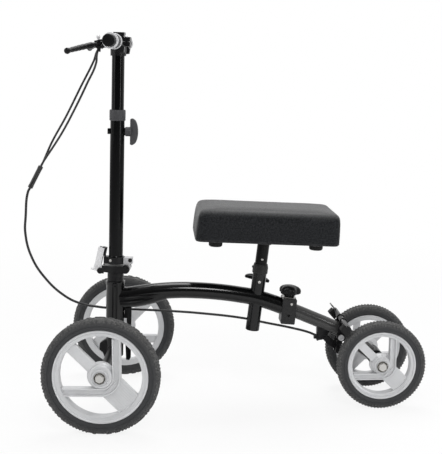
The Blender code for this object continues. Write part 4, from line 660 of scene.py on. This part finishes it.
SATIN_BLACK = finish("satin_black_metal", (0.0045, 0.0045, 0.005), (0.01, 0.01, 0.011), 0.34, scale=800,
                     depth=0.15, dust=0.03, specular=0.22)
BLACK_PAINT = gloss_black("gloss_black_paint", 0.16)
FRAME_PAINT = gloss_black("gloss_frame_paint", 0.36)
BLACK_PLASTIC = finish("black_plastic", (0.005, 0.005, 0.0055), (0.011, 0.011, 0.012), 0.38, scale=1100,
                       depth=0.2, dust=0.03, specular=0.22)

head_line = shift(-0.25435, 0, FRONT_HUB_HEIGHT) @ turn(1.56, "Y")
column_line = head_line @ STEER


def on_head(height):
    """A height above the floor as a height on the steering head's own line."""
    return height - FRONT_HUB_HEIGHT


def head_ring(name, *profile):
    """A turned tube or ring in the head's own frame, from its radii and its heights above the floor."""
    return turned(name, [(radius, on_head(height)) for radius, height in profile], closed=True)


for node in ("steerer", "fold_pin"):
    refine(node, SATIN_BLACK)
refine("front_axle", SATIN_BLACK, edge=0.0006)

head = head_ring("head_bearing_tube", (0.0145, 0.16), (0.0205, 0.16), (0.022, 0.1612), (0.022, 0.1675),
                 (0.0212, 0.169), (0.0208, 0.1702), (0.0208, 0.277), (0.0212, 0.2782), (0.022, 0.2796),
                 (0.022, 0.2868), (0.0206, 0.288), (0.0145, 0.288))
wear(place(head, head_line), FRAME_PAINT, "frame", "head_tube")

collar = head_ring("steerer_collar", (0.0143, 0.2885), (0.0182, 0.2885), (0.0185, 0.2889), (0.0185, 0.2946),
                   (0.018, 0.295), (0.018, 0.2962), (0.0185, 0.2966), (0.0185, 0.3079), (0.0176, 0.3087),
                   (0.0143, 0.3087))
wear(place(collar, column_line), BLACK_PLASTIC, "stem", "neck_collar")


# Fold joint. Two cast blocks that hinge behind the column, with a bright aluminium lug in the upper one. A
# steel cam lever on the lower block's front ears swings up against the upper block and locks it.
ALUMINIUM = finish("cast_aluminium", (0.42, 0.42, 0.43), (0.6, 0.6, 0.61), 0.38, metallic=0.35, depth=0.2,
                   dust=0.05)
LEVER_STEEL = finish("lever_steel", (0.66, 0.66, 0.67), (0.8, 0.8, 0.81), 0.3, metallic=0.3, depth=0.05,
                     dust=0.03)

upper = head_ring("upper_fold_block", (0.0163, 0.3284), (0.0198, 0.3284), (0.0205, 0.3291), (0.0205, 0.3435),
                  (0.0198, 0.3442), (0.0163, 0.3442))
nose = block("nose", (0.011, 0.023, 0.015), (-0.021, 0, on_head(0.3363)), edge=0.0012)
hook = block("hook", (0.004, 0.011, 0.023), (-0.0248, 0, on_head(0.34)), edge=0.001)
wear(place(join(upper, nose, hook), column_line), SATIN_BLACK, "column", "fold_block")
refine("fold_lug", ALUMINIUM)
refine("quick_release_lever", LEVER_STEEL, edge=0.0005)

# A black disc on the lug's end, where a dark arc shows.
dark_end_disc = turned("lug_dark_end_disc", [(AXIS, 0.0098), (0.0044, 0.0098), (0.0044, 0.0112), (0.0036, 0.0118),
                           (AXIS, 0.0118)], 32)
place(dark_end_disc, column_line @ shift(0.0338, 0, on_head(0.338)) @ turn(90, "X"))
wear(dark_end_disc, BLACK_PLASTIC, "column")
screw = turned("block_screw", [(AXIS, 0.017), (0.003, 0.017), (0.003, 0.0196), (0.0024, 0.0204),
                               (0.0014, 0.0204), (0.0011, 0.0194), (AXIS, 0.0194)], 24)
place(screw, column_line @ shift(-0.0098, 0, on_head(0.3376)) @ turn(90, "X"))
wear(screw, STEEL, "column")
# A black block fills the open side of the lever's channel, where a dark strip shows beside the handle.
channel_filler = join(block("lever_channel_filler", (0.01, 0.014, 0.019), (-0.0008, 0, 0.045), edge=0.0012),
              block("channel_filler_foot", (0.007, 0.014, 0.024), (-0.006, 0, 0.028), edge=0.001))
place(channel_filler, column_line @ shift(-0.0345, 0, on_head(0.3115)) @ turn(11.5, "Y"))
wear(channel_filler, BLACK_PLASTIC, "quick_release")


# Steering column. A steel tube in gloss black with a weld at its foot, a nut for the clamping knob and a
# plastic collar on its top. The handle tube slides in it and is held at its height by the knob's screw.
COLUMN_KNOB_HEIGHT = 0.629
BAR_HEIGHT = 0.825
GREY_PLASTIC = finish("dark_grey_plastic", (0.04, 0.04, 0.043), (0.062, 0.062, 0.066), 0.45, scale=1000,
                      depth=0.2, dust=0.12)

column_tube = head_ring("column_outer_tube", (0.0143, 0.3356), (0.016, 0.3356), (0.016, 0.6715),
                        (0.0155, 0.672), (0.0143, 0.672))
boss = block("screw_boss", (0.0068, 0.013, 0.013), (-0.0182, 0, on_head(COLUMN_KNOB_HEIGHT)), edge=0.0016)
nut = turned("weld_nut", [(0.0043, 0), (0.009, 0), (0.009, 0.0022), (0.0082, 0.003), (0.0043, 0.003)], 32,
             closed=True)
place(nut, shift(0.015, 0, on_head(COLUMN_KNOB_HEIGHT)) @ turn(90, "Y"))
foot_weld = head_ring("foot_weld", (0.015, 0.3434), (0.0164, 0.3434), (0.01712, 0.345), (0.0164, 0.3466),
                      (0.015, 0.3466))
place(join(column_tube, boss, nut, foot_weld), column_line)
wear(column_tube, BLACK_PAINT, "column", "column_tube")

ring = head_ring("column_top_collar", (0.0143, 0.6723), (0.0163, 0.6723), (0.0163, 0.653), (0.0172, 0.653),
                 (0.018, 0.654), (0.018, 0.6575), (0.0176, 0.6579), (0.0176, 0.6587), (0.018, 0.6591),
                 (0.018, 0.6752), (0.0168, 0.677), (0.0143, 0.677))
wear(place(ring, column_line), GREY_PLASTIC, "column", "column_collar")

handle_tube = head_ring("handle_inner_tube", (0.012, 0.5), (0.014, 0.5), (0.014, 0.8059), (0.012, 0.8059))
wear(place(handle_tube, column_line), BLACK_PAINT, "handle", "handle_tube")


# Handlebar. A straight steel tube in a split aluminium stem, painted satin black, with soft grey grips
# between two pale flanges and black caps in the bar's ends.
GRIP_RIBS = 14
RIB_PITCH = 0.0038
GRIP_START = 0.0752
GRIP_RUBBER = finish("grip_rubber", (0.07, 0.07, 0.074), (0.105, 0.105, 0.11), 0.62, depth=0.3, dust=0.05)
FLANGE_RUBBER = finish("grip_flange_rubber", (0.56, 0.56, 0.57), (0.7, 0.7, 0.71), 0.5, depth=0.2, dust=0.05)
CAP_RUBBER = finish("bar_cap_rubber", (0.003, 0.003, 0.0032), (0.006, 0.006, 0.0064), 0.45, depth=0.2,
                    dust=0.0, specular=0.12)

refine("bar_clamp", SATIN_BLACK, edge=0.0006)
bar_middle = column_line @ shift(0, 0, on_head(BAR_HEIGHT))
bar_line = bar_middle @ turn(90, "X")
bar = turned("steering_bar", [(AXIS, -0.1615), (0.0104, -0.1615), (0.0111, -0.1608), (0.0111, -0.022),
                              (0.0111, 0.022), (0.0111, 0.1608), (0.0104, 0.1615), (AXIS, 0.1615)])
wear(place(bar, bar_line), BLACK_PAINT, "handle", "handlebar")

for side, name in SIDES:
    half_bar = bar_line @ turn(90 + 90 * side, "X")
    sleeve_profile = [(0.0114, GRIP_START)]
    for rib in range(GRIP_RIBS):
        start = GRIP_START + rib * RIB_PITCH
        sleeve_profile += [
            (0.015, start), (0.015, start + 0.0026), (0.0143, start + 0.003), (0.0143, start + 0.0036)]
    sleeve_profile += [(0.015, 0.1284), (0.0114, 0.1284)]
    sleeve = place(turned("grip_sleeve_" + name, sleeve_profile, closed=True), half_bar)
    wear(sleeve, GRIP_RUBBER, "handle", "grip_" + name)
    flanges = [turned("grip_flanges_" + name, [(0.0114, start), (0.016, start), (0.017, start + 0.0008),
                                               (0.017, edge), (0.016, end), (0.0114, end)], closed=True)
               for start, edge, end in ((0.07, 0.0742, GRIP_START), (0.1284, 0.1342, 0.135))]
    wear(place(join(*flanges), half_bar), FLANGE_RUBBER, "handle")
    cap = turned("bar_end_cap_" + name, [
        (0.0114, 0.135), (0.013, 0.135), (0.013, 0.163), (0.0122, 0.1646), (0.01, 0.1655), (AXIS, 0.1655),
        (AXIS, 0.1618), (0.0114, 0.1618)], closed=True)
    wear(place(cap, half_bar), CAP_RUBBER, "handle")


# Hand brakes. A moulded perch clamps on the bar beside each grip. Its lever turns on a pin in the perch's
# fork, a waved plastic blade with a ball end, and pulls the cable that leaves the perch.
LEVER_WAY = [
    (-0.002, 0.001, 0.92), (-0.008, 0.006, 1.02), (-0.014, 0.01, 1.12), (-0.0235, 0.0205, 1.05),
    (-0.0275, 0.0266, 0.96), (-0.031, 0.033, 1.05), (-0.0342, 0.04, 0.93), (-0.037, 0.047, 1.02),
    (-0.0396, 0.054, 0.9), (-0.042, 0.061, 0.98), (-0.0446, 0.068, 0.87), (-0.047, 0.075, 0.94),
    (-0.0492, 0.0815, 0.82), (-0.0512, 0.088, 0.84), (-0.053, 0.0935, 1.0), (-0.0541, 0.0962, 1.1),
    (-0.0549, 0.0985, 1.0), (-0.0555, 0.1002, 0.62)]
LEVER_RADIUS = 0.0061
LEVER_SAG = 0.09
LEVER_PLASTIC = finish("lever_plastic", (0.003, 0.003, 0.0034), (0.0065, 0.0065, 0.007), 0.34, scale=1100,
                       depth=0.2, dust=0.02, specular=0.2)

for (side, name), droop in zip(SIDES, (10.0, 3.0)):
    pivot = bar_middle @ turn(-droop, "Y") @ shift(-0.034, side * 0.0585, 0)
    refine("brake_perch_" + name, BLACK_PLASTIC, edge=0.0006)
    blade = tube("waved_lever_" + name, [(x, side * y, -LEVER_SAG * y) for x, y, share in LEVER_WAY],
                 LEVER_RADIUS, 20, [share for x, y, share in LEVER_WAY])
    root = turned("lever_root", [(0.0027, -0.0041), (0.0066, -0.0041), (0.0072, -0.0035), (0.0072, 0.0035),
                                 (0.0066, 0.0041), (0.0027, 0.0041)], 40, closed=True)
    lever = join(blade, root)
    faces_where(lever, lambda centre, normal: math.hypot(centre.x, centre.y) < 0.018)
    bpy.ops.transform.resize(value=(1, 1, 0.78), center_override=(0, 0, 0))
    bpy.ops.object.mode_set(mode="OBJECT")
    wear(place(lever, pivot), LEVER_PLASTIC, "lever_" + name, "brake_lever_" + name)
    adjuster = turned("lever_screw_" + name, [
        (AXIS, 0.0084), (0.0028, 0.0084), (0.0028, 0.012), (0.0042, 0.0126), (0.0042, 0.0168),
        (0.0036, 0.0178), (AXIS, 0.018)], 32)
    wear(place(adjuster, pivot), LEVER_STEEL, "handle")


# Main frame. One round steel tube leaves the head tube, rises a little and falls away to the rear clamp,
# with a gusset under its front end and a flat strut with a web behind the head tube, all in gloss black
# paint.
TUBE_WAY = [(-0.25135, 0.252), (-0.22235, 0.253), (-0.19235, 0.257), (-0.15735, 0.261), (-0.10735, 0.2635),
            (-0.06735, 0.2625), (-0.01735, 0.2585), (0.03265, 0.2515), (0.07265, 0.2435), (0.10765, 0.2325),
            (0.14565, 0.218)]
CUT_ATTEMPTS = 5
GUSSET_WAY = [(-0.25135, 0.241), (-0.22235, 0.2412), (-0.18235, 0.247), (-0.13735, 0.259)]
seat_line = shift(0.06565, 0, 0.167) @ turn(6.9, "Y")


def beam(name, way, radius):
    """A thick round tube in the walker's middle plane."""
    return tube(name, [(x, 0, z) for x, z in way], radius, 48)


def is_closed(piece):
    """Whether every edge of a piece has a face on both sides."""
    uses = Counter(edge for face in piece.data.polygons for edge in face.edge_keys)
    return set(uses.values()) == {2}


def round_cut(piece, line, radius, low, high):
    """Takes a round hole along a line out of a piece, again if the solver has lost the hole's wall."""
    cutter = place(turned("cutter", [(AXIS, low), (radius, low), (radius, high), (AXIS, high)]), line)
    uncut = piece.data
    pick(piece)
    for attempt in range(CUT_ATTEMPTS):
        piece.data = uncut.copy()
        modify(piece, "hole", "BOOLEAN", operation="DIFFERENCE", object=cutter)
        bpy.ops.object.modifier_apply(modifier="hole")
        if is_closed(piece):
            break
    bpy.data.objects.remove(cutter)
    return smooth(piece)


main = beam("main_beam", TUBE_WAY, 0.019)
gusset = beam("head_gusset", GUSSET_WAY, 0.018)
for piece in (main, gusset):
    round_cut(piece, head_line, 0.02, 0.06, 0.2)
round_cut(main, seat_line, 0.0155, 0.0, 0.16)
wear(main, FRAME_PAINT, "frame", "main_tube")
wear(gusset, FRAME_PAINT, "frame")
refine("stop_strut", BLACK_PAINT, edge=0.0012)
web = block("strut_web", (0.0115, 0.007, 0.042), (0.0268, 0, on_head(0.2235)), edge=0.001)
wear(place(web, head_line), BLACK_PAINT, "frame")


# Rear clamp. A cast block that grips the main tube in front and the rear tube behind, tightened by a star
# knob on a steel washer, with a set screw in its near face.
STAR_RADIUS = 0.0225
LOBES = 5
LOBE_SWELL = 0.18
CAST_BLACK = finish("cast_black_metal", (0.013, 0.013, 0.0135), (0.022, 0.022, 0.0225), 0.4, scale=800,
                    depth=0.2, dust=0.03)
refine("rear_clamp", CAST_BLACK, edge=0.0006)
clamp_line = shift(0.14865, 0, 0.2165) @ turn(5, "Y")

star = turned("star_hand_knob", [(0.004, 0.0228), (0.004, 0.0282), (0.0108, 0.0282), (0.0122, 0.0296),
                                 (0.013, 0.033), (0.013, 0.0372)], 90)
crown = turned("knob_crown", [(AXIS, 0.035), (0.015, 0.035), (0.02, 0.0358), (0.0222, 0.0378),
                              (STAR_RADIUS, 0.044), (0.0212, 0.0486), (0.018, 0.0524), (0.013, 0.0548),
                              (0.007, 0.0557), (AXIS, 0.0559)], 90)
for corner in crown.data.vertices:
    share = min(1, math.hypot(corner.co.x, corner.co.y) / STAR_RADIUS)
    swell = 1 + LOBE_SWELL * share ** 3 * math.cos(LOBES * math.atan2(corner.co.y, corner.co.x))
    corner.co.x *= swell
    corner.co.y *= swell
wear(place(join(crown, star), clamp_line), LEVER_PLASTIC, "star_knob", "star_knob")
washer = turned("clamp_washer", [(0.0046, 0.0273), (0.0165, 0.0273), (0.017, 0.0277), (0.0165, 0.0281),
                                 (0.0046, 0.0281)], closed=True)
wear(place(washer, clamp_line), STEEL, "frame")
screw = turned("clamp_screw", [(AXIS, -0.001), (0.003, -0.001), (0.003, 0.001), (0.0024, 0.0016),
                               (0.0015, 0.0016), (0.0012, 0.0006), (AXIS, 0.0006)], 24)
wear(place(screw, clamp_line @ shift(0.0045, -0.0216, 0.0155) @ turn(90, "X")), STEEL, "frame")


# Rear end. A second bent tube runs from the clamp down to a sleeve on the rear axle; its black paint is made
# greyer as a painted reflection. It carries the brake's pivot bolt, a tab below it that holds the end of
# the cable's cover, and a bracket plate on either side.
REAR_WAY = [(0.14765, 0.2172), (0.16665, 0.2098), (0.20265, 0.1945), (0.24065, 0.178), (0.27165, 0.163),
            (0.29865, 0.1445), (0.32765, 0.1215), (REAR_AXLE_X, 0.101)]
BRACKET_OUTLINE = [(0.2188, 0.1415), (0.2188, 0.178), (0.25, 0.169), (0.243, 0.156), (0.23, 0.1425)]
# The stay's grey is a painted reflection: black paint made lighter to stand for the reflections on the tube.
STAY_PAINT_WITH_PAINTED_REFLECTION = finish("stay_paint_with_painted_reflection", 0.044, (0.066, 0.066, 0.065), 0.22, metallic=0.35, scale=330,
                    depth=0.03, dust=0.03, specular=0.4)

rear = beam("rear_stay", REAR_WAY, 0.016)
wear(rear, STAY_PAINT_WITH_PAINTED_REFLECTION, "frame", "rear_tube")
refine("rear_axle", SATIN_BLACK, edge=0.0006)
refine("pivot_bolt", LEVER_STEEL, edge=0.0006)
refine("cable_stop", SATIN_BLACK)


def polygon(name, corners):
    """A mesh of one flat face with the given corners."""
    bpy.ops.mesh.primitive_circle_add(vertices=len(corners), radius=0.1, fill_type="NGON", location=(0, 0, 0))
    piece = bpy.context.object
    piece.name = name
    for vertex, corner in zip(piece.data.vertices, corners):
        vertex.co = corner
    return piece


def side_plate(name, outline, low, high, edge=0.0006):
    """A plate with rounded edges whose outline lies in X and Z, from one Y to another."""
    piece = polygon(name, [(x, low, z) for x, z in outline])
    edit(piece)
    bpy.ops.mesh.extrude_region_move(TRANSFORM_OT_translate={"value": (0, high - low, 0)})
    bpy.ops.mesh.select_all(action="SELECT")
    bpy.ops.mesh.normals_make_consistent(inside=False)
    bpy.ops.mesh.bevel(offset=edge, segments=2, affect="EDGES")
    bpy.ops.object.mode_set(mode="OBJECT")
    return smooth(piece, 40)


bracket = join(side_plate("cable_bracket", BRACKET_OUTLINE, -0.0104, -0.0078),
               side_plate("far_cheek", BRACKET_OUTLINE, 0.0078, 0.0104))
wear(bracket, SATIN_BLACK, "frame")


# Rear brake. A forked yoke swings on the pivot bolt and carries a rubber block in a steel holder at each
# wheel. The cable pulls it through a short link.
HOLDER_ZINC = finish("dull_zinc", 0.13, 0.2, 0.42, metallic=0.3, depth=0.1)
BLOCK_RUBBER = finish("block_rubber", 0.007, 0.014, 0.7, scale=800, depth=0.35, dust=0.06)
for node in ("brake_yoke", "brake_link"):
    refine(node, SATIN_BLACK, edge=0.0006)


def at_wheel(degrees, radius):
    """A point in the rear wheels' plane, by its angle and its distance from the axle."""
    angle = math.radians(degrees)
    return REAR_AXLE_X + radius * math.cos(angle), REAR_HUB_HEIGHT + radius * math.sin(angle)


BLOCK_OUTLINE = ([at_wheel(132.6 + 2.6 * step, 0.1077) for step in range(4)]
                 + [at_wheel(139.0 - 2.1 * step, 0.1283) for step in range(4)])
for side, name in SIDES:
    low, high = sorted((side * 0.0657, side * 0.0872))
    shoe = side_plate("brake_block_" + name, BLOCK_OUTLINE, low, high, edge=0.001)
    wear(shoe, BLOCK_RUBBER, "brake_yoke", "brake_shoe_" + name)
    tip = block("holder_tip_" + name, (0.013, 0.0226, 0.0032), (0.1322, 0, 0), edge=0.0006)
    place(tip, rear_line @ shift(0, side * REAR_TRACK / 2, 0) @ turn(-131, "Y"))
    wear(tip, HOLDER_ZINC, "brake_yoke")


# Seat post. It slides in a receiver tube that is welded through the main tube and topped by a plastic
# collar. A sprung button shows in a hole in its side, and a wing knob on a welded nut clamps it.
SEAT_KNOB_HEIGHT = 0.115
COLLAR_PLASTIC = finish("collar_plastic", (0.014, 0.014, 0.014), (0.024, 0.024, 0.0235), 0.42, scale=1100,
                        depth=0.2, dust=0.03, specular=0.22)

receiver = turned("seat_receiver_tube", [(0.0143, 0.0), (0.0152, 0.0), (0.016, 0.0008), (0.016, 0.1375),
                                         (0.0155, 0.138), (0.0143, 0.138)], closed=True)
boss = turned("receiver_nut", [(0.0043, 0.015), (0.009, 0.015), (0.009, 0.0172), (0.0084, 0.018),
                               (0.0043, 0.018)], 40, closed=True)
place(boss, shift(0, 0, SEAT_KNOB_HEIGHT) @ turn(-90, "X"))
wear(place(join(receiver, boss), seat_line), FRAME_PAINT, "frame", "seat_receiver")
bolt = turned("receiver_bolt", [(AXIS, 0.0146), (0.0034, 0.0146), (0.0034, 0.0178), (0.0026, 0.0184),
                                (0.0018, 0.0188), (AXIS, 0.019)], 40)
wear(place(bolt, seat_line @ shift(0, 0, 0.1175) @ turn(90, "X")), STEEL, "frame")

seat_collar = turned("receiver_collar", [
    (0.0143, 0.1383), (0.0163, 0.1383), (0.0163, 0.1362), (0.0172, 0.1362), (0.0178, 0.1369),
    (0.0178, 0.15), (0.0173, 0.1518), (0.016, 0.1575), (0.0154, 0.1583), (0.0143, 0.1583)], closed=True)
pip = block("pip", (0.0034, 0.006, 0.0046), (-0.018, 0, 0.149), edge=0.001)
wear(place(join(seat_collar, pip), seat_line), COLLAR_PLASTIC, "frame", "seat_collar")

post = turned("seat_inner_post", [(0.012, 0.023), (0.014, 0.023), (0.014, 0.2175), (0.012, 0.2175)],
              closed=True)
hole_line = seat_line @ shift(0, 0, 0.1702) @ turn(90, "X")
round_cut(place(post, seat_line), hole_line, 0.0035, 0.0, 0.03)
wear(post, BLACK_PAINT, "seat", "seat_post")
button = turned("snap_button", [(AXIS, 0.01), (0.0031, 0.01), (0.0031, 0.0128), (0.0026, 0.0134),
                                (0.0015, 0.0138), (AXIS, 0.0139)], 32)
wear(place(button, hole_line), STEEL, "seat")


# Seat plate. A pressed steel plate, screwed under the pad, has a welded socket for the post and four rubber
# bumpers. The seat's own line has its origin on the plate's top.
seat_top = shift(0.09065, 0, 0.3885) @ turn(2.6, "Y")
refine("seat_plate", SATIN_BLACK, edge=0.0006)
for end, along in (("front", -0.1135), ("rear", 0.1135)):
    for side, name in SIDES:
        name = end + "_" + name
        stud = turned("rubber_foot_" + name, [
            (AXIS, -0.0053), (0.0155, -0.0053), (0.0155, -0.014), (0.0148, -0.0168), (0.013, -0.0183),
            (0.006, -0.0183), (0.0052, -0.0172), (AXIS, -0.0172)], 48)
        place(stud, seat_top @ shift(along, side * 0.05, 0))
        wear(stud, BLOCK_RUBBER, "seat", "bumper_" + name)


# Knee pad. A foam block under heather-grey cloth: a low crown, rounded top edges, a front end that leans
# back and a sewn welt round the bottom. The foam is puffed up inside its cover by a short cloth simulation.
PAD_HALF = (0.1614, 0.0894)
PAD_TOP = 0.068
PAD_LEVELS = [(-0.0044, 0.004), (-0.003, 0.0012), (0.001, 0.0), (0.028, 0.0), (0.05, 0.0004), (0.059, 0.0018),
              (0.064, 0.0042), (0.0668, 0.0078), (PAD_TOP, 0.013)]
PAD_ROOM = ((-0.162, 0.162), (-0.09, 0.09), (-0.0048, 0.0742))
PAD_STEPS = 20
LEAN_START = -0.1
LEAN = 0.0055
LEAST_PUFF = 0.0006
MIDDLE_PUFF = 0.004


def woven_cloth(name, dark, light, sheen):
    """Heather cloth: two shades of yarn in a fine plain weave, stray pale fibres on upward faces that also
    paint the top lighter, as light from above, and a soft sheen.
    """
    material, tree, shader = new_material(name, {"Specular IOR Level": 0.15, "Sheen Weight": sheen,
                                                 "Sheen Roughness": 0.45})
    where = shade(tree, "TexCoord", out="Object")
    stretched = shade(tree, "Mapping", {"Vector": where, "Scale": (1.0, 1.0, 2.2)})
    yarn = shade(tree, "TexNoise", {"Vector": stretched, "Scale": 900, "Detail": 5})
    clumps = shade(tree, "TexNoise", {"Vector": where, "Scale": 300, "Detail": 3})
    both = calculate(tree, "MULTIPLY_ADD", clumps, 0.45, yarn)
    heather = shade(tree, "MapRange", {"Value": both, "From Min": 0.64, "From Max": 0.8})
    # Pale fibres on faces that look up. Their strength also paints the pad's top lighter, as the light from
    # above makes it.
    lint_and_top_light = shade(tree, "Group", {"Amount": 0.48, "Scale": 420}, node_tree=DUST_AND_TOP_LIGHT)
    base = colour_mix(tree, heather, dark, light)
    feed(tree, shader.inputs["Base Color"], colour_mix(tree, lint_and_top_light, base, 0.32))
    warp, weft = [shade(tree, "TexWave", {"Vector": where, "Scale": 330, "Distortion": 0.6}, "Fac",
                        bands_direction=way) for way in ("X", "DIAGONAL")]
    weave = calculate(tree, "MAXIMUM", warp, weft)
    bump = shade(tree, "Bump", {"Strength": 0.35, "Distance": 0.0004, "Height": weave})
    feed(tree, shader.inputs["Normal"], bump)
    rough = shade(tree, "MapRange", {"Value": yarn, "To Min": 0.82, "To Max": 0.98})
    feed(tree, shader.inputs["Roughness"], rough)
    return material


CLOTH = woven_cloth("heather_cloth", (0.002, 0.0023, 0.0029), (0.022, 0.0235, 0.026), 0.26)


def pad_outline(length, width, corner, steps):
    """Points round a rectangle with rounded corners, the same number on each corner."""
    points = []
    for quarter, (across, beside) in enumerate(((1, 1), (-1, 1), (-1, -1), (1, -1))):
        for step in range(steps):
            angle = math.pi / 2 * (quarter + step / (steps - 1))
            points.append((across * (length / 2 - corner) + corner * math.cos(angle),
                           beside * (width / 2 - corner) + corner * math.sin(angle)))
    return points


def foam_block():
    """The pad before it is stuffed: each level is the outline of the one below, raised and drawn in."""
    low, first = PAD_LEVELS[0]
    outline = pad_outline(2 * PAD_HALF[0], 2 * PAD_HALF[1], 0.012, 7)
    foam = polygon("padded_knee_rest", [(x * (1 - first / PAD_HALF[0]), y * (1 - first / PAD_HALF[1]), low)
                                        for x, y in outline])
    edit(foam)
    bpy.ops.mesh.select_mode(type="FACE")
    bpy.ops.mesh.select_all(action="SELECT")
    for (height, inset), (higher, further) in zip(PAD_LEVELS, PAD_LEVELS[1:]):
        bpy.ops.mesh.extrude_region_move(TRANSFORM_OT_translate={"value": (0, 0, higher - height)})
        shares = [(half - further) / (half - inset) for half in PAD_HALF]
        bpy.ops.transform.resize(value=(*shares, 1), center_override=(0, 0, higher))
    bpy.ops.mesh.select_all(action="SELECT")
    bpy.ops.mesh.normals_make_consistent(inside=False)
    bpy.ops.object.mode_set(mode="OBJECT")
    for corner in foam.data.vertices:
        if corner.co.x < LEAN_START:
            corner.co.x += LEAN * (corner.co.z / PAD_TOP) * min(1, (LEAN_START - corner.co.x) / 0.04)
    foam.data.remesh_voxel_size = 0.004
    bpy.ops.object.voxel_remesh()
    return foam


def stuff(foam):
    """Puffs the foam up inside its cover: least along the edges, most in the middle of a face."""
    start = [(corner.co.copy(), corner.normal.copy()) for corner in foam.data.vertices]
    held = foam.vertex_groups.new(name="held")
    held.add([corner.index for corner in foam.data.vertices if corner.co.z < 0.006], 1.0, "ADD")
    cloth = foam.modifiers.new("stuffing", "CLOTH").settings
    cloth.use_pressure = True
    cloth.uniform_pressure_force = 2
    cloth.effector_weights.gravity = 0
    cloth.quality = 6
    cloth.vertex_group_mass = "held"
    for step in range(1, PAD_STEPS + 1):
        bpy.context.scene.frame_set(step)
    pick(foam)
    bpy.ops.object.modifier_apply(modifier="stuffing")
    for corner, (before, outwards) in zip(foam.data.vertices, start):
        moved = corner.co - before
        inwards = min(1, (PAD_HALF[0] - abs(before.x)) / 0.05) * min(1, (PAD_HALF[1] - abs(before.y)) / 0.04)
        most = LEAST_PUFF + MIDDLE_PUFF * max(0, inwards) * (moved.dot(outwards) > 0)
        if moved.length > most:
            corner.co = before + moved.normalized() * most
    foam.vertex_groups.clear()
    bpy.context.scene.frame_set(1)


pad = foam_block()
stuff(pad)
for corner in pad.data.vertices:
    corner.co = [min(max(value, least), most) for value, (least, most) in zip(corner.co, PAD_ROOM)]
modify(pad, "evened", "SMOOTH", factor=0.5, iterations=7)
modify(pad, "finer", "SUBSURF", levels=1, render_levels=1)
pick(pad)
bpy.ops.object.modifier_apply(modifier="evened")
bpy.ops.object.modifier_apply(modifier="finer")
place(smooth(pad, 60), seat_top)
wear(pad, CLOTH, "seat", "knee_pad")

# The welt: a thin cloth-covered cord sewn in where the side band meets the bottom cover.
seam = []
for x, y in pad_outline(0.323, 0.179, 0.013, 9):
    found, touch, normal, index = pad.closest_point_on_mesh(seat_top @ Vector((x, y, 0.0005)))
    seam.append(touch - normal * 0.0003)
welt = tube("sewn_welt", seam + [seam[0]], 0.001, 10)
wear(welt, CLOTH, "seat")


# Hand screws. Plastic wings moulded on screws clamp the handle tube and the seat post: a blunt grey one,
# and a black one that thins towards its tips.
WING_HALF = 0.03


def wing_knob(name, line, material, thinning):
    """A half-moon wing on a round neck with its screw, Z away from the tube. It thins towards its tips."""
    knob = turned(name + "_head", [(AXIS, 0.0183), (0.0098, 0.0183), (0.0105, 0.019), (0.0105, 0.0306),
                                   (0.0098, 0.0322), (AXIS, 0.0322)], 48)
    across = [-1 + step / 8 for step in range(17)]
    edge = [(WING_HALF * share, 0.0338 + 0.0125 * math.sqrt(1 - share * share)) for share in across]
    wing = side_plate("wing", [(-0.0285, 0.0288), *edge, (0.0285, 0.0288)], -0.006, 0.006, edge=0.0018)
    for corner in wing.data.vertices:
        corner.co.y *= 1 + thinning / 4 - thinning * min(1, abs(corner.co.x) / WING_HALF) ** 3
    screw = turned("screw", [(AXIS, 0.0146), (0.004, 0.0146), (0.004, 0.019), (AXIS, 0.019)], 24)
    wear(place(join(knob, wing, screw), line), material, name, name, slot="dark_grey_plastic")


wing_knob("column_knob", column_line @ shift(0, 0, on_head(COLUMN_KNOB_HEIGHT)) @ turn(90, "Y"),
          GREY_PLASTIC, 0.2)
wing_knob("seat_knob", seat_line @ shift(0, 0, SEAT_KNOB_HEIGHT) @ turn(7, "Y") @ turn(-90, "X"),
          LEVER_PLASTIC, 0.8)

low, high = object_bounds()
